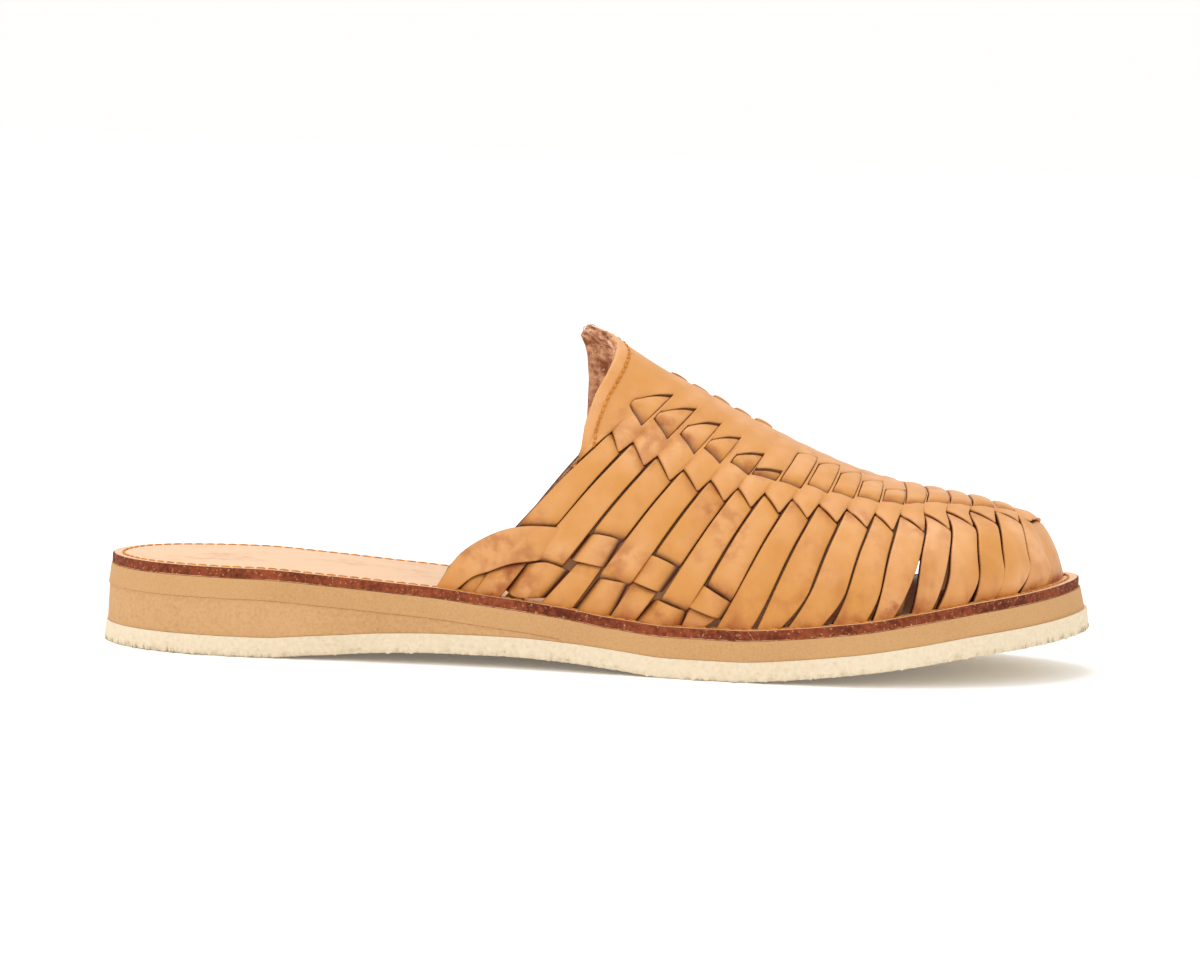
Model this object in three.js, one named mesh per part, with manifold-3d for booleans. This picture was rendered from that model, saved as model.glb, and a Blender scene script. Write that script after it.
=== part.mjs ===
// Woven leather huarache mule for the right foot, in millimetres, +X to the toe, +Y to the inner side, +Z up.
// Four stacked sole layers carry one woven upper, whose strips stand proud of its wall.
import * as THREE from "three";
import Module from "manifold-3d";

const wasm = await Module();
wasm.setup();

// Driving dimensions.
const SOLE_LENGTH = 260;
const BALL_WIDTH = 93;
const OUTSOLE_THICK = 5.1;
const MIDSOLE_THICK = 4.9;
const INSOLE_THICK = 2.4;
const WEDGE_HEIGHT = 9.5;
const ARCH_LIFT = 2.95;
const TOE_SPRING = 11.8;
const TOE_THICKENING = 0.5;
const SIDE_LEAN = 1.4;
const TOE_LEAN = 3.4;
const GLUE_LINE = 0.3;
const INSTEP_HEIGHT = 71.5;
const CREST_OFFSET = 6.5;
const WALL_THICK = 1.7;
const STRIP_RELIEF = 1.4;
const STRIP_MARGIN = 4.0;
const TOE_MARGIN = 5.0;
const SIDE_BULGE = 1.2;
const STRIP_GROOVE = 1.0;
const SLIT_WIDTH = 1.4;
const GAP_WIDTH = 2.6;
const GAP_TIP_WIDTH = 0.5;
const CUT_PAST_WALL = 2;
const INNER_ADVANCE = 9;

// Stations along each side of a sole layer.
const SOLE_STATIONS = 44;

// Strip lines are numbered from the heel end of the weave to the tip of the toe. The tables follow them.
const STRIPS = { firstWhole: 2, lastCrossed: 7, lastRidged: 12, lastWhole: 17, toe: 17.72, tip: 18 };

// Sole outline: half-breadths on the outer and inner side as shares of the ball width.
const OUTLINE = [
  { at: 0.0, outer: 0.0, inner: 0.0 },
  { at: 0.008, outer: 0.115, inner: 0.118 },
  { at: 0.03, outer: 0.213, inner: 0.218 },
  { at: 0.07, outer: 0.292, inner: 0.292 },
  { at: 0.13, outer: 0.334, inner: 0.328 },
  { at: 0.2, outer: 0.342, inner: 0.326 },
  { at: 0.3, outer: 0.344, inner: 0.312 },
  { at: 0.4, outer: 0.372, inner: 0.314 },
  { at: 0.5, outer: 0.424, inner: 0.35 },
  { at: 0.6, outer: 0.478, inner: 0.432 },
  { at: 0.68, outer: 0.504, inner: 0.486 },
  { at: 0.74, outer: 0.5, inner: 0.498 },
  { at: 0.8, outer: 0.466, inner: 0.482 },
  { at: 0.86, outer: 0.405, inner: 0.44 },
  { at: 0.91, outer: 0.325, inner: 0.384 },
  { at: 0.955, outer: 0.21, inner: 0.3 },
  { at: 0.985, outer: 0.085, inner: 0.212 },
  { at: 1.0, outer: -0.07, inner: 0.07 },
];

// Underside along the sole: arch and toe rise as shares of their lifts, wedge as a share of its height.
const PROFILE = [
  { at: 0.0, arch: 0.0, toe: 0.0, wedge: 0.98, thicker: 0.0 },
  { at: 0.15, arch: 0.0, toe: 0.0, wedge: 0.98, thicker: 0.0 },
  { at: 0.22, arch: 0.41, toe: 0.0, wedge: 0.75, thicker: 0.0 },
  { at: 0.28, arch: 0.81, toe: 0.0, wedge: 0.51, thicker: 0.0 },
  { at: 0.34, arch: 0.98, toe: 0.0, wedge: 0.33, thicker: 0.0 },
  { at: 0.4, arch: 1.0, toe: 0.0, wedge: 0.15, thicker: 0.0 },
  { at: 0.46, arch: 0.78, toe: 0.0, wedge: 0.04, thicker: 0.0 },
  { at: 0.5, arch: 0.47, toe: 0.0, wedge: 0.0, thicker: 0.0 },
  { at: 0.56, arch: 0.0, toe: 0.0, wedge: 0.0, thicker: 0.0 },
  { at: 0.62, arch: 0.0, toe: 0.0, wedge: 0.0, thicker: 0.0 },
  { at: 0.68, arch: 0.0, toe: 0.1, wedge: 0.0, thicker: 0.0 },
  { at: 0.74, arch: 0.0, toe: 0.25, wedge: 0.0, thicker: 0.0 },
  { at: 0.8, arch: 0.0, toe: 0.43, wedge: 0.0, thicker: 0.4 },
  { at: 0.86, arch: 0.0, toe: 0.64, wedge: 0.0, thicker: 0.6 },
  { at: 0.93, arch: 0.0, toe: 0.82, wedge: 0.0, thicker: 0.8 },
  { at: 1.0, arch: 0.0, toe: 1.0, wedge: 0.0, thicker: 1.0 },
];
const WEDGE_END = 0.455;

// Crest of the upper above the insole, as a share of the instep height, and its shift to the inner side.
const CREST = [
  { at: 0.44, height: 1.07, shift: 0.1 },
  { at: 0.5, height: 0.955, shift: 0.25 },
  { at: 0.55, height: 0.865, shift: 0.3 },
  { at: 0.6, height: 0.775, shift: 0.36 },
  { at: 0.65, height: 0.678, shift: 0.42 },
  { at: 0.7, height: 0.577, shift: 0.5 },
  { at: 0.75, height: 0.483, shift: 0.6 },
  { at: 0.8, height: 0.402, shift: 0.7 },
  { at: 0.85, height: 0.34, shift: 0.8 },
  { at: 0.9, height: 0.28, shift: 0.92 },
  { at: 0.94, height: 0.225, shift: 1.0 },
];

// Where each strip starts at the sole and where its line reaches the crest, as shares of the sole length.
const FAN = [
  { strip: -4, foot: 0.162, crest: 0.452 },
  { strip: -2, foot: 0.238, crest: 0.496 },
  { strip: 1, foot: 0.35, crest: 0.563 },
  { strip: 4, foot: 0.463, crest: 0.629 },
  { strip: 8, foot: 0.604, crest: 0.717 },
  { strip: 12, foot: 0.758, crest: 0.806 },
  { strip: 15, foot: 0.865, crest: 0.873 },
  { strip: 17, foot: 0.927, crest: 0.921 },
  { strip: 18, foot: 1.0, crest: 0.94 },
];

// Roundness of a cross section: how far the wall rises before it turns, and how flat it is over the crest.
const SECTION = { rise: 0.57, flat: 0.65, leanLow: 0.5, leanHigh: 0.04 };

// Collar edge: strip line that it follows at each height of the wall, from the sole (0) to the crest (1).
const COLLAR = [
  { up: 0.0, outer: 0.55, inner: 0.55 },
  { up: 0.057, outer: 0.23, inner: 0.23 },
  { up: 0.1, outer: 0.27, inner: 0.27 },
  { up: 0.135, outer: 0.5, inner: 0.5 },
  { up: 0.165, outer: 0.8, inner: 0.8 },
  { up: 0.2, outer: 1.06, inner: 1.06 },
  { up: 0.3, outer: 1.06, inner: 1.03 },
  { up: 0.4, outer: 0.92, inner: 0.85 },
  { up: 0.53, outer: 0.05, inner: -0.1 },
  { up: 0.67, outer: -0.52, inner: -1.0 },
  { up: 0.88, outer: -1.45, inner: -2.6 },
  { up: 0.95, outer: -1.95, inner: -2.95 },
  { up: 1.0, outer: -2.6, inner: -2.6 },
];

// Heights on the wall where the weave changes, along the strips: lower and upper edge of the cross strap,
// strip ends (at their left and right corner), lower edge of the blocks above the side rib, and their top.
const WEAVE = [
  { strip: 0, low: 0.012, top: 0.17, endLeft: 0.55, endRight: 0.52, blockLow: 0.67, blockTop: 0.8 },
  { strip: 2, low: 0.1, top: 0.2, endLeft: 0.53, endRight: 0.5, blockLow: 0.62, blockTop: 0.8 },
  { strip: 4, low: 0.129, top: 0.222, endLeft: 0.508, endRight: 0.475, blockLow: 0.6, blockTop: 0.8 },
  { strip: 6, low: 0.095, top: 0.188, endLeft: 0.514, endRight: 0.47, blockLow: 0.605, blockTop: 0.82 },
  { strip: 8, low: 0.03, top: 0.1, endLeft: 0.535, endRight: 0.475, blockLow: 0.64, blockTop: 0.87 },
  { strip: 10, low: 0.05, top: 0.14, endLeft: 0.569, endRight: 0.487, blockLow: 0.685, blockTop: 0.88 },
  { strip: 12, low: 0.06, top: 0.16, endLeft: 0.605, endRight: 0.488, blockLow: 0.745, blockTop: 0.88 },
  { strip: 14, low: 0.07, top: 0.18, endLeft: 0.69, endRight: 0.515, blockLow: 0.84, blockTop: 0.93 },
  { strip: 16, low: 0.08, top: 0.2, endLeft: 0.755, endRight: 0.55, blockLow: 0.88, blockTop: 0.95 },
  { strip: 18, low: 0.09, top: 0.22, endLeft: 0.765, endRight: 0.6, blockLow: 0.9, blockTop: 0.96 },
];

// Height of each kind of place above the wall, as a share of the strips' relief.
const RELIEF = { strip: 1.0, rib: 0.8, tucked: 0.45, crossing: 0.15, floor: 0.0 };

// Openings between neighbouring strips: from and to a height of the wall, width as a share of GAP_WIDTH.
const OPENINGS = [
  { strip: 2, from: -0.03, to: 0.035, width: 0.8 },
  { strip: 3, from: -0.03, to: 0.03, width: 0.8 },
  { strip: 4, from: -0.03, to: 0.03, width: 0.6 },
  { strip: 5, from: -0.03, to: 0.03, width: 0.6 },
  { strip: 6, from: -0.03, to: 0.03, width: 0.6 },
  { strip: 7, from: -0.03, to: 0.03, width: 0.6 },
  { strip: 8, from: -0.03, to: 0.04, width: 0.6 },
  { strip: 9, from: -0.03, to: 0.05, width: 0.7 },
  { strip: 10, from: -0.03, to: 0.06, width: 0.9 },
  { strip: 11, from: -0.03, to: 0.08, width: 1.0 },
  { strip: 12, from: -0.03, to: 0.1, width: 1.1 },
  { strip: 13, from: -0.03, to: 0.3, width: 1.3 },
  { strip: 14, from: -0.03, to: 0.1, width: 1.0 },
  { strip: 15, from: -0.03, to: 0.09, width: 0.9 },
  { strip: 16, from: -0.03, to: 0.08, width: 0.8 },
  { strip: 17, from: -0.03, to: 0.07, width: 0.7 },
];

const COLOURS = {
  outsole: { color: 0xeedcc1, roughness: 0.85 },
  heel_wedge: { color: 0xe1b484, roughness: 0.8 },
  midsole: { color: 0xd2a36e, roughness: 0.75 },
  insole: { color: 0xf0cca6, roughness: 0.6 },
  upper: { color: 0xdfa566, roughness: 0.5 },
};

const OUTER = -1;
const INNER = 1;

// A smooth curve through a table's rows that never swings past them: flats stay flat.
function through(rows, along, value) {
  const x = rows.map((row) => row[along]);
  const y = rows.map((row) => row[value]);
  const secants = x.slice(1).map((next, i) => (y[i + 1] - y[i]) / (next - x[i]));
  const slopes = y.map((_, i) => {
    if (i === 0) return secants[0];
    if (i === y.length - 1) return secants[i - 1];
    const before = secants[i - 1];
    const after = secants[i];
    return before * after <= 0 ? 0 : (2 * before * after) / (before + after);
  });
  return (at) => {
    const place = THREE.MathUtils.clamp(at, x[0], x[x.length - 1]);
    let i = 0;
    while (i < x.length - 2 && place > x[i + 1]) i += 1;
    const span = x[i + 1] - x[i];
    const t = (place - x[i]) / span;
    const s = 1 - t;
    const ends = (1 + 2 * t) * s * s * y[i] + t * t * (3 - 2 * t) * y[i + 1];
    return ends + t * s * span * (s * slopes[i] - t * slopes[i + 1]);
  };
}

// Along the sole, a turn of 0 is the back of the heel and 1 the tip of the toe. Half a cosine rounds the ends.
const shareOfTurn = (turn) => (1 - Math.cos(Math.PI * turn)) / 2;
const turnOfShare = (share) => Math.acos(1 - 2 * THREE.MathUtils.clamp(share, 0, 1)) / Math.PI;

const outlineRows = OUTLINE.map((row) => ({ ...row, turn: turnOfShare(row.at) }));
const breadth = {
  [OUTER]: through(outlineRows, "turn", "outer"),
  [INNER]: through(outlineRows, "turn", "inner"),
};

function outlinePoint(turn, side) {
  const x = SOLE_LENGTH * shareOfTurn(turn);
  return new THREE.Vector2(x, side * BALL_WIDTH * breadth[side](turn));
}

// A point of the outline moved inwards, by one inset along the sides and another at the toe.
function insetPoint(turn, side, sideInset, toeInset) {
  const step = 1e-4;
  const at = THREE.MathUtils.clamp(turn, 0, 1);
  const before = outlinePoint(Math.max(at - step, 0), side);
  const after = outlinePoint(Math.min(at + step, 1), side);
  const tangent = after.sub(before).normalize();
  const inwards = new THREE.Vector2(side * tangent.y, -side * tangent.x);
  const toeShare = THREE.MathUtils.smoothstep(shareOfTurn(at), 0.8, 1);
  const inset = THREE.MathUtils.lerp(sideInset, toeInset, toeShare);
  return outlinePoint(at, side).addScaledVector(inwards, inset);
}

// Heights of the sole's layers along its length.
const archAt = through(PROFILE, "at", "arch");
const toeAt = through(PROFILE, "at", "toe");
const wedgeAt = through(PROFILE, "at", "wedge");
const thickerAt = through(PROFILE, "at", "thicker");
const shareAt = (x) => x / SOLE_LENGTH;
const underside = (x) => ARCH_LIFT * archAt(shareAt(x)) + TOE_SPRING * toeAt(shareAt(x));
const thickening = (x) => TOE_THICKENING * thickerAt(shareAt(x));
const outsoleTop = (x) => underside(x) + OUTSOLE_THICK + thickening(x);
const wedgeBottom = (x) => outsoleTop(x) + GLUE_LINE;
const wedgeTop = (x) => wedgeBottom(x) + WEDGE_HEIGHT * wedgeAt(shareAt(x));
const wedgeGlue = (x) => GLUE_LINE * Math.min(1, wedgeAt(shareAt(x)) / wedgeAt(WEDGE_END));
const midsoleBottom = (x) => wedgeTop(x) + wedgeGlue(x);
const midsoleTop = (x) => midsoleBottom(x) + MIDSOLE_THICK + thickening(x);
const insoleBottom = (x) => midsoleTop(x) + GLUE_LINE;
const insoleTop = (x) => insoleBottom(x) + INSOLE_THICK;
const upperBottom = (x) => insoleTop(x) + GLUE_LINE;

// Collects triangles between shared corners and gives back one closed manifold solid.
class Shell {
  constructor() {
    this.numbers = new Map();
    this.positions = [];
    this.triangles = [];
  }

  number(corner) {
    if (!this.numbers.has(corner)) {
      this.numbers.set(corner, this.numbers.size);
      this.positions.push(corner.x, corner.y, corner.z);
    }
    return this.numbers.get(corner);
  }

  triangle(...corners) {
    const distinct = new Set(corners).size === corners.length;
    if (distinct) this.triangles.push(...corners.map((corner) => this.number(corner)));
  }

  quad(a, b, c, d) {
    this.triangle(a, b, c);
    this.triangle(a, c, d);
  }

  solid() {
    const mesh = new wasm.Mesh({
      numProp: 3,
      vertProperties: new Float32Array(this.positions),
      triVerts: new Uint32Array(this.triangles),
    });
    return new wasm.Manifold(mesh);
  }
}

function geometryOf(solid) {
  const mesh = solid.getMesh();
  const count = mesh.numProp;
  const positions = new Float32Array(mesh.numVert * 3);
  for (let i = 0; i < mesh.numVert; i += 1) {
    positions.set(mesh.vertProperties.subarray(i * count, i * count + 3), i * 3);
  }
  const geometry = new THREE.BufferGeometry();
  geometry.setAttribute("position", new THREE.BufferAttribute(positions, 3));
  geometry.setIndex(new THREE.BufferAttribute(new Uint32Array(mesh.triVerts), 1));
  geometry.computeVertexNormals();
  return geometry;
}

function namedMesh(name, solid) {
  const finish = COLOURS[name];
  const material = new THREE.MeshStandardMaterial({ ...finish, metalness: 0 });
  const mesh = new THREE.Mesh(geometryOf(solid), material);
  mesh.name = name;
  return mesh;
}

// One sole layer: the outline at two insets, closed above and below by strips that run across.
function soleLayer({ bottom, top, leanBottom, leanTop, end = 1 }) {
  const shell = new Shell();
  const lastTurn = turnOfShare(end);
  const corner = (turn, side, lean, height) => {
    const flat = insetPoint(turn, side, lean * SIDE_LEAN, lean * TOE_LEAN);
    return new THREE.Vector3(flat.x, flat.y, height(flat.x));
  };
  const pair = (turn, lean, height) => {
    const outer = corner(turn, OUTER, lean, height);
    const inner = corner(turn, INNER, lean, height);
    if (turn > 0 && turn < 1) return [outer, inner];
    const shared = outer.lerp(inner, 0.5);
    return [shared, shared];
  };
  const stations = Array.from({ length: SOLE_STATIONS + 1 }, (_, i) => {
    const turn = (lastTurn * i) / SOLE_STATIONS;
    const [outerLow, innerLow] = pair(turn, leanBottom, bottom);
    const [outerHigh, innerHigh] = pair(turn, leanTop, top);
    return { outerLow, innerLow, outerHigh, innerHigh };
  });
  for (let i = 0; i < SOLE_STATIONS; i += 1) {
    const here = stations[i];
    const next = stations[i + 1];
    shell.quad(here.outerHigh, next.outerHigh, next.innerHigh, here.innerHigh);
    shell.quad(here.innerLow, next.innerLow, next.outerLow, here.outerLow);
    shell.quad(here.outerLow, next.outerLow, next.outerHigh, here.outerHigh);
    shell.quad(here.innerHigh, next.innerHigh, next.innerLow, here.innerLow);
  }
  const front = stations[SOLE_STATIONS];
  shell.quad(front.outerLow, front.innerLow, front.innerHigh, front.outerHigh);
  return shell.solid();
}

// The last's surface, woven in two directions: strip lines run up from the sole, heights go round the foot.
const fanFoot = through(FAN, "strip", "foot");
const fanCrest = through(FAN, "strip", "crest");
const crestHeight = through(CREST, "at", "height");
const crestShift = through(CREST, "at", "shift");
const footInset = SIDE_LEAN + STRIP_MARGIN;
const footToeInset = TOE_LEAN + TOE_MARGIN;
const crestZ = (x) => insoleTop(x) + INSTEP_HEIGHT * crestHeight(shareAt(x));

// The turn at which the strips' footline has a given share of its own length.
const footlineEnd = insetPoint(1, OUTER, footInset, footToeInset).x;
function footTurn(share) {
  const wanted = share >= 1 ? footlineEnd : share * SOLE_LENGTH;
  let low = 0;
  let high = 1;
  for (let i = 0; i < 40; i += 1) {
    const middle = (low + high) / 2;
    if (insetPoint(middle, OUTER, footInset, footToeInset).x < wanted) low = middle;
    else high = middle;
  }
  return (low + high) / 2;
}

// On the inner side the strips start further forward, most at the heel end and not at all at the toe.
const innerAdvance = (strip) => (INNER_ADVANCE * Math.min(1, 1 - strip / STRIPS.tip)) / SOLE_LENGTH;

function stripLine(strip, side) {
  const turn = footTurn(fanFoot(strip) + (side === INNER ? innerAdvance(strip) : 0));
  const foot = insetPoint(turn, side, footInset, footToeInset);
  const crestX = SOLE_LENGTH * fanCrest(strip);
  const crestY = CREST_OFFSET * crestShift(shareAt(crestX));
  const run = crestX - foot.x;
  const leaningTurn = turnOfShare(shareOfTurn(turn) + (SECTION.leanLow * run) / SOLE_LENGTH);
  const bulged = insetPoint(leaningTurn, side, footInset - SIDE_BULGE, footToeInset - SIDE_BULGE);
  const slope = crestZ(crestX + 0.5) - crestZ(crestX - 0.5);
  const footZ = upperBottom(foot.x);
  const crest = new THREE.Vector3(crestX, crestY, crestZ(crestX));
  return new THREE.CubicBezierCurve3(
    new THREE.Vector3(foot.x, foot.y, footZ),
    new THREE.Vector3(bulged.x, bulged.y, footZ + SECTION.rise * (crest.z - footZ)),
    new THREE.Vector3(
      crestX - SECTION.leanHigh * run,
      THREE.MathUtils.lerp(crestY, foot.y, SECTION.flat),
      crest.z - slope * SECTION.leanHigh * run,
    ),
    crest,
  );
}

const lineCache = new Map();
function surfacePoint(strip, up, side) {
  const limited = Math.min(strip, STRIPS.tip);
  const key = `${limited.toFixed(6)} ${side}`;
  if (!lineCache.has(key)) lineCache.set(key, stripLine(limited, side));
  return lineCache.get(key).getPoint(THREE.MathUtils.clamp(up, 0, 1));
}

function outwardNormal(strip, up, side) {
  const step = 0.02;
  const along = surfacePoint(strip + step, up, side).sub(surfacePoint(strip - step, up, side));
  const rising = surfacePoint(strip, up + step, side).sub(surfacePoint(strip, up - step, side));
  const normal = side === OUTER ? along.cross(rising) : rising.cross(along);
  return normal.normalize();
}

// At the crest and at the tip of the toe both sides meet, so their normals are shared.
function wallNormal(strip, up, side) {
  const own = outwardNormal(strip, up, side);
  const onSeam = up >= 1 || strip >= STRIPS.tip;
  return onSeam ? own.add(outwardNormal(strip, up, -side)).normalize() : own;
}

function wallPoint(strip, up, side, offset) {
  const onTip = strip >= STRIPS.tip;
  const base = surfacePoint(strip, up, side);
  if (onTip) base.lerp(surfacePoint(strip, up, -side), 0.5);
  const placed = base.addScaledVector(wallNormal(strip, up, side), offset);
  if (up <= 0) placed.z = upperBottom(placed.x);
  return placed;
}

// Columns of the woven wall from the collar to the tip of the toe. Each belongs to a strip and lies a share
// across it. Between two strips a groove runs along their line, with a shoulder on either side.
function weaveColumns() {
  const columns = [0, 0.3, 0.75].map((across) => ({ strip: STRIPS.firstWhole - 1, across, fromCollar: true }));
  const between = (line, strip) => {
    columns.push({ line: line - grooveShare, strip: strip - 1, across: 1 });
    columns.push({ line, strip, across: 0.5, groove: true });
    columns.push({ line: line + grooveShare, strip, across: 0 });
  };
  for (let strip = STRIPS.firstWhole; strip <= STRIPS.lastWhole; strip += 1) between(strip, strip);
  between(STRIPS.toe, STRIPS.tip);
  columns.push({ line: STRIPS.tip, strip: STRIPS.tip, across: 0.5 });
  return columns;
}

const weave = {};
for (const edge of ["low", "top", "endLeft", "endRight", "blockLow", "blockTop"]) {
  weave[edge] = through(WEAVE, "strip", edge);
}
const collar = {
  [OUTER]: through(COLLAR, "up", "outer"),
  [INNER]: through(COLLAR, "up", "inner"),
};

const stripPitch = (SOLE_LENGTH * (fanFoot(STRIPS.tip) - fanFoot(1))) / (STRIPS.tip - 1);
const grooveShare = STRIP_GROOVE / stripPitch;
const slitShare = SLIT_WIDTH / INSTEP_HEIGHT;
const leastBand = 3 * slitShare;

// The strip line that a column follows: columns beside the collar spread out from its edge.
function stripAt(column, up, side) {
  if (!column.fromCollar) return column.line;
  const firstShoulder = STRIPS.firstWhole - grooveShare;
  return THREE.MathUtils.lerp(collar[side](up), firstShoulder, column.across * column.across);
}

// Rows of the wall from the sole up to the crest, with the relief that each column has there.
function weaveRows(column) {
  const { strip, across, groove = false } = column;
  const line = column.fromCollar ? strip + across : column.line;
  const low = weave.low(line);
  const top = weave.top(line);
  const end = THREE.MathUtils.lerp(weave.endLeft(strip), weave.endRight(strip), across);
  const blockLow = Math.max(weave.blockLow(line), end + leastBand);
  const blockTop = Math.max(weave.blockTop(line), blockLow + leastBand);
  const raised = groove ? RELIEF.floor : RELIEF.strip;
  const crossed = strip <= STRIPS.lastCrossed;
  const over = crossed && strip % 2 === 0 && strip > STRIPS.firstWhole;
  const ridged = strip < STRIPS.lastRidged;
  const lowEnd = crossed ? RELIEF.crossing : RELIEF.strip;
  const tucked = crossed ? (over ? RELIEF.tucked : RELIEF.rib) : RELIEF.strip;
  const ridge = ridged ? RELIEF.rib : raised;
  const grooved = (relief) => (groove ? Math.min(relief, RELIEF.crossing) : relief);
  return [
    { up: 0, relief: grooved(tucked) },
    { up: low * 0.5, relief: grooved(tucked) },
    { up: low, relief: grooved(lowEnd) },
    { up: low + slitShare, relief: raised },
    { up: top - slitShare, relief: raised },
    { up: top, relief: grooved(crossed && !over ? RELIEF.crossing : RELIEF.strip) },
    { up: top + slitShare, relief: raised },
    { up: (top + end) / 2, relief: raised },
    { up: end - slitShare, relief: raised },
    { up: end, relief: RELIEF.floor },
    { up: end + slitShare, relief: RELIEF.rib },
    { up: blockLow - slitShare, relief: RELIEF.rib },
    { up: blockLow, relief: RELIEF.floor },
    { up: blockLow + slitShare, relief: raised },
    { up: blockTop - slitShare, relief: raised },
    { up: blockTop, relief: ridged ? RELIEF.floor : raised },
    { up: blockTop + slitShare, relief: ridge },
    { up: 1, relief: ridge },
  ];
}

// The wall as one closed shell: outer skin with raised strips, smooth inner skin, and the rims between them.
function wovenWall() {
  const shell = new Shell();
  const grid = weaveColumns().map((column) => {
    const rows = weaveRows(column);
    const point = (row, side) => {
      const strip = stripAt(column, row.up, side);
      return {
        skin: wallPoint(strip, row.up, side, STRIP_RELIEF * row.relief),
        lining: wallPoint(strip, row.up, side, -WALL_THICK),
      };
    };
    const outer = rows.map((row) => point(row, OUTER));
    const onTip = column.line >= STRIPS.tip;
    const inner = onTip ? outer.slice(0, -1) : rows.slice(0, -1).map((row) => point(row, INNER));
    return [...outer, ...inner.reverse()];
  });
  for (let i = 0; i + 1 < grid.length; i += 1) {
    const here = grid[i];
    const next = grid[i + 1];
    for (let j = 0; j + 1 < here.length; j += 1) {
      shell.quad(here[j].skin, next[j].skin, next[j + 1].skin, here[j + 1].skin);
      shell.quad(here[j + 1].lining, next[j + 1].lining, next[j].lining, here[j].lining);
    }
    const last = here.length - 1;
    shell.quad(here[0].lining, next[0].lining, next[0].skin, here[0].skin);
    shell.quad(here[last].skin, next[last].skin, next[last].lining, here[last].lining);
  }
  const edge = grid[0];
  for (let j = 0; j + 1 < edge.length; j += 1) {
    shell.quad(edge[j].lining, edge[j].skin, edge[j + 1].skin, edge[j + 1].lining);
  }
  return shell.solid();
}

// A narrow wedge through the wall between two strips, wide at the sole and closing upwards.
function stripOpening({ strip, from, to, width }, side) {
  const shell = new Shell();
  const reach = WALL_THICK + STRIP_RELIEF + CUT_PAST_WALL;
  const footHalf = (width * GAP_WIDTH) / 2;
  const headHalf = GAP_TIP_WIDTH / 2;
  const foot = surfacePoint(strip, 0, side);
  const head = surfacePoint(strip, to, side);
  const below = foot.clone().addScaledVector(head.clone().sub(foot).normalize(), from * INSTEP_HEIGHT);
  const normal = outwardNormal(strip, to / 2, side);
  const along = surfacePoint(strip + grooveShare, 0, side).sub(foot).normalize();
  const corners = [
    below.clone().addScaledVector(along, -footHalf),
    below.clone().addScaledVector(along, footHalf),
    head.clone().addScaledVector(along, headHalf),
    head.clone().addScaledVector(along, -headHalf),
  ];
  const near = corners.map((corner) => corner.clone().addScaledVector(normal, reach));
  const far = corners.map((corner) => corner.clone().addScaledVector(normal, -reach));
  const faces = [near, far.toReversed()];
  for (let i = 0; i < 4; i += 1) {
    const j = (i + 1) % 4;
    faces.push([far[i], far[j], near[j], near[i]]);
  }
  for (const face of faces) {
    if (side === OUTER) shell.quad(...face);
    else shell.quad(...face.toReversed());
  }
  return shell.solid();
}

function upper() {
  let wall = wovenWall();
  for (const opening of OPENINGS) {
    for (const side of [OUTER, INNER]) wall = wall.subtract(stripOpening(opening, side));
  }
  return wall;
}

const outsole = { bottom: underside, top: outsoleTop, leanBottom: 0, leanTop: 0.25 };
const heelWedge = { bottom: wedgeBottom, top: wedgeTop, leanBottom: 0.5, leanTop: 0.65, end: WEDGE_END };
const midsole = { bottom: midsoleBottom, top: midsoleTop, leanBottom: 0.55, leanTop: 0.85 };
const insole = { bottom: insoleBottom, top: insoleTop, leanBottom: 1, leanTop: 1 };

const shoe = new THREE.Group();
shoe.name = "huarache_mule";
shoe.add(
  namedMesh("outsole", soleLayer(outsole)),
  namedMesh("heel_wedge", soleLayer(heelWedge)),
  namedMesh("midsole", soleLayer(midsole)),
  namedMesh("insole", soleLayer(insole)),
  namedMesh("upper", upper()),
);

// The origin is on the floor under the middle of the shoe's box.
const box = new THREE.Box3().setFromObject(shoe);
const middle = box.getCenter(new THREE.Vector3());
for (const mesh of shoe.children) mesh.position.set(-middle.x, -middle.y, -box.min.z);

export default shoe;
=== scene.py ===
import logging
import math
from dataclasses import dataclass, field
from enum import Enum
from typing import Any, Callable, Sequence

import bmesh
import bpy
import numpy as np
from mathutils import Matrix, Vector


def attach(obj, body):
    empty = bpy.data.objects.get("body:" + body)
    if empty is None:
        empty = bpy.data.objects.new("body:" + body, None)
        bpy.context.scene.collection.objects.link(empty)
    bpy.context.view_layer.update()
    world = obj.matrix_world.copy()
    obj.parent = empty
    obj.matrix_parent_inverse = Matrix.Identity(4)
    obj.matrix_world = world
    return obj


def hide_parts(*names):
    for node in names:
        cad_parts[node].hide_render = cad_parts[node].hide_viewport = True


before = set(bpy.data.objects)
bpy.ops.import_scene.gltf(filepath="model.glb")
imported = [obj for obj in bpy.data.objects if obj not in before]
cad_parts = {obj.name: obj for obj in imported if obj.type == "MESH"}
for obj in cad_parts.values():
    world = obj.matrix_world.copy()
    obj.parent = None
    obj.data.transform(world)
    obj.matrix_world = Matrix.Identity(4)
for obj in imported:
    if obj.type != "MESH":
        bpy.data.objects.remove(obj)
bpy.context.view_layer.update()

Array = np.ndarray
Rail = Sequence[tuple[float, float]]
log = logging.getLogger("huarache")

MM = 0.001
SEED = 11
LAST_STRIP = 17
TIP = 18.0
TIP_PIECE_START = 17.46

# Height at which strips and straps end, hidden in the sole.
HIDDEN = -0.03

# Height of the vamp's lower edge beside the collar, and of its edge over the tip piece.
COLLAR_END = 0.38
TIP_EDGE = 0.74

# How far before the next strip's tip the notch between two strip ends starts and stops.
NOTCH_START = 0.14
NOTCH_STOP = 0.08

# Distances in from a cut edge, and how far the face falls there.
EDGE_PLACES = (0, 0.12, 0.32, 0.65, 1.1)
EDGE_FALLS = (0.42, 0.17, 0.06, 0.015, 0)

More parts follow.
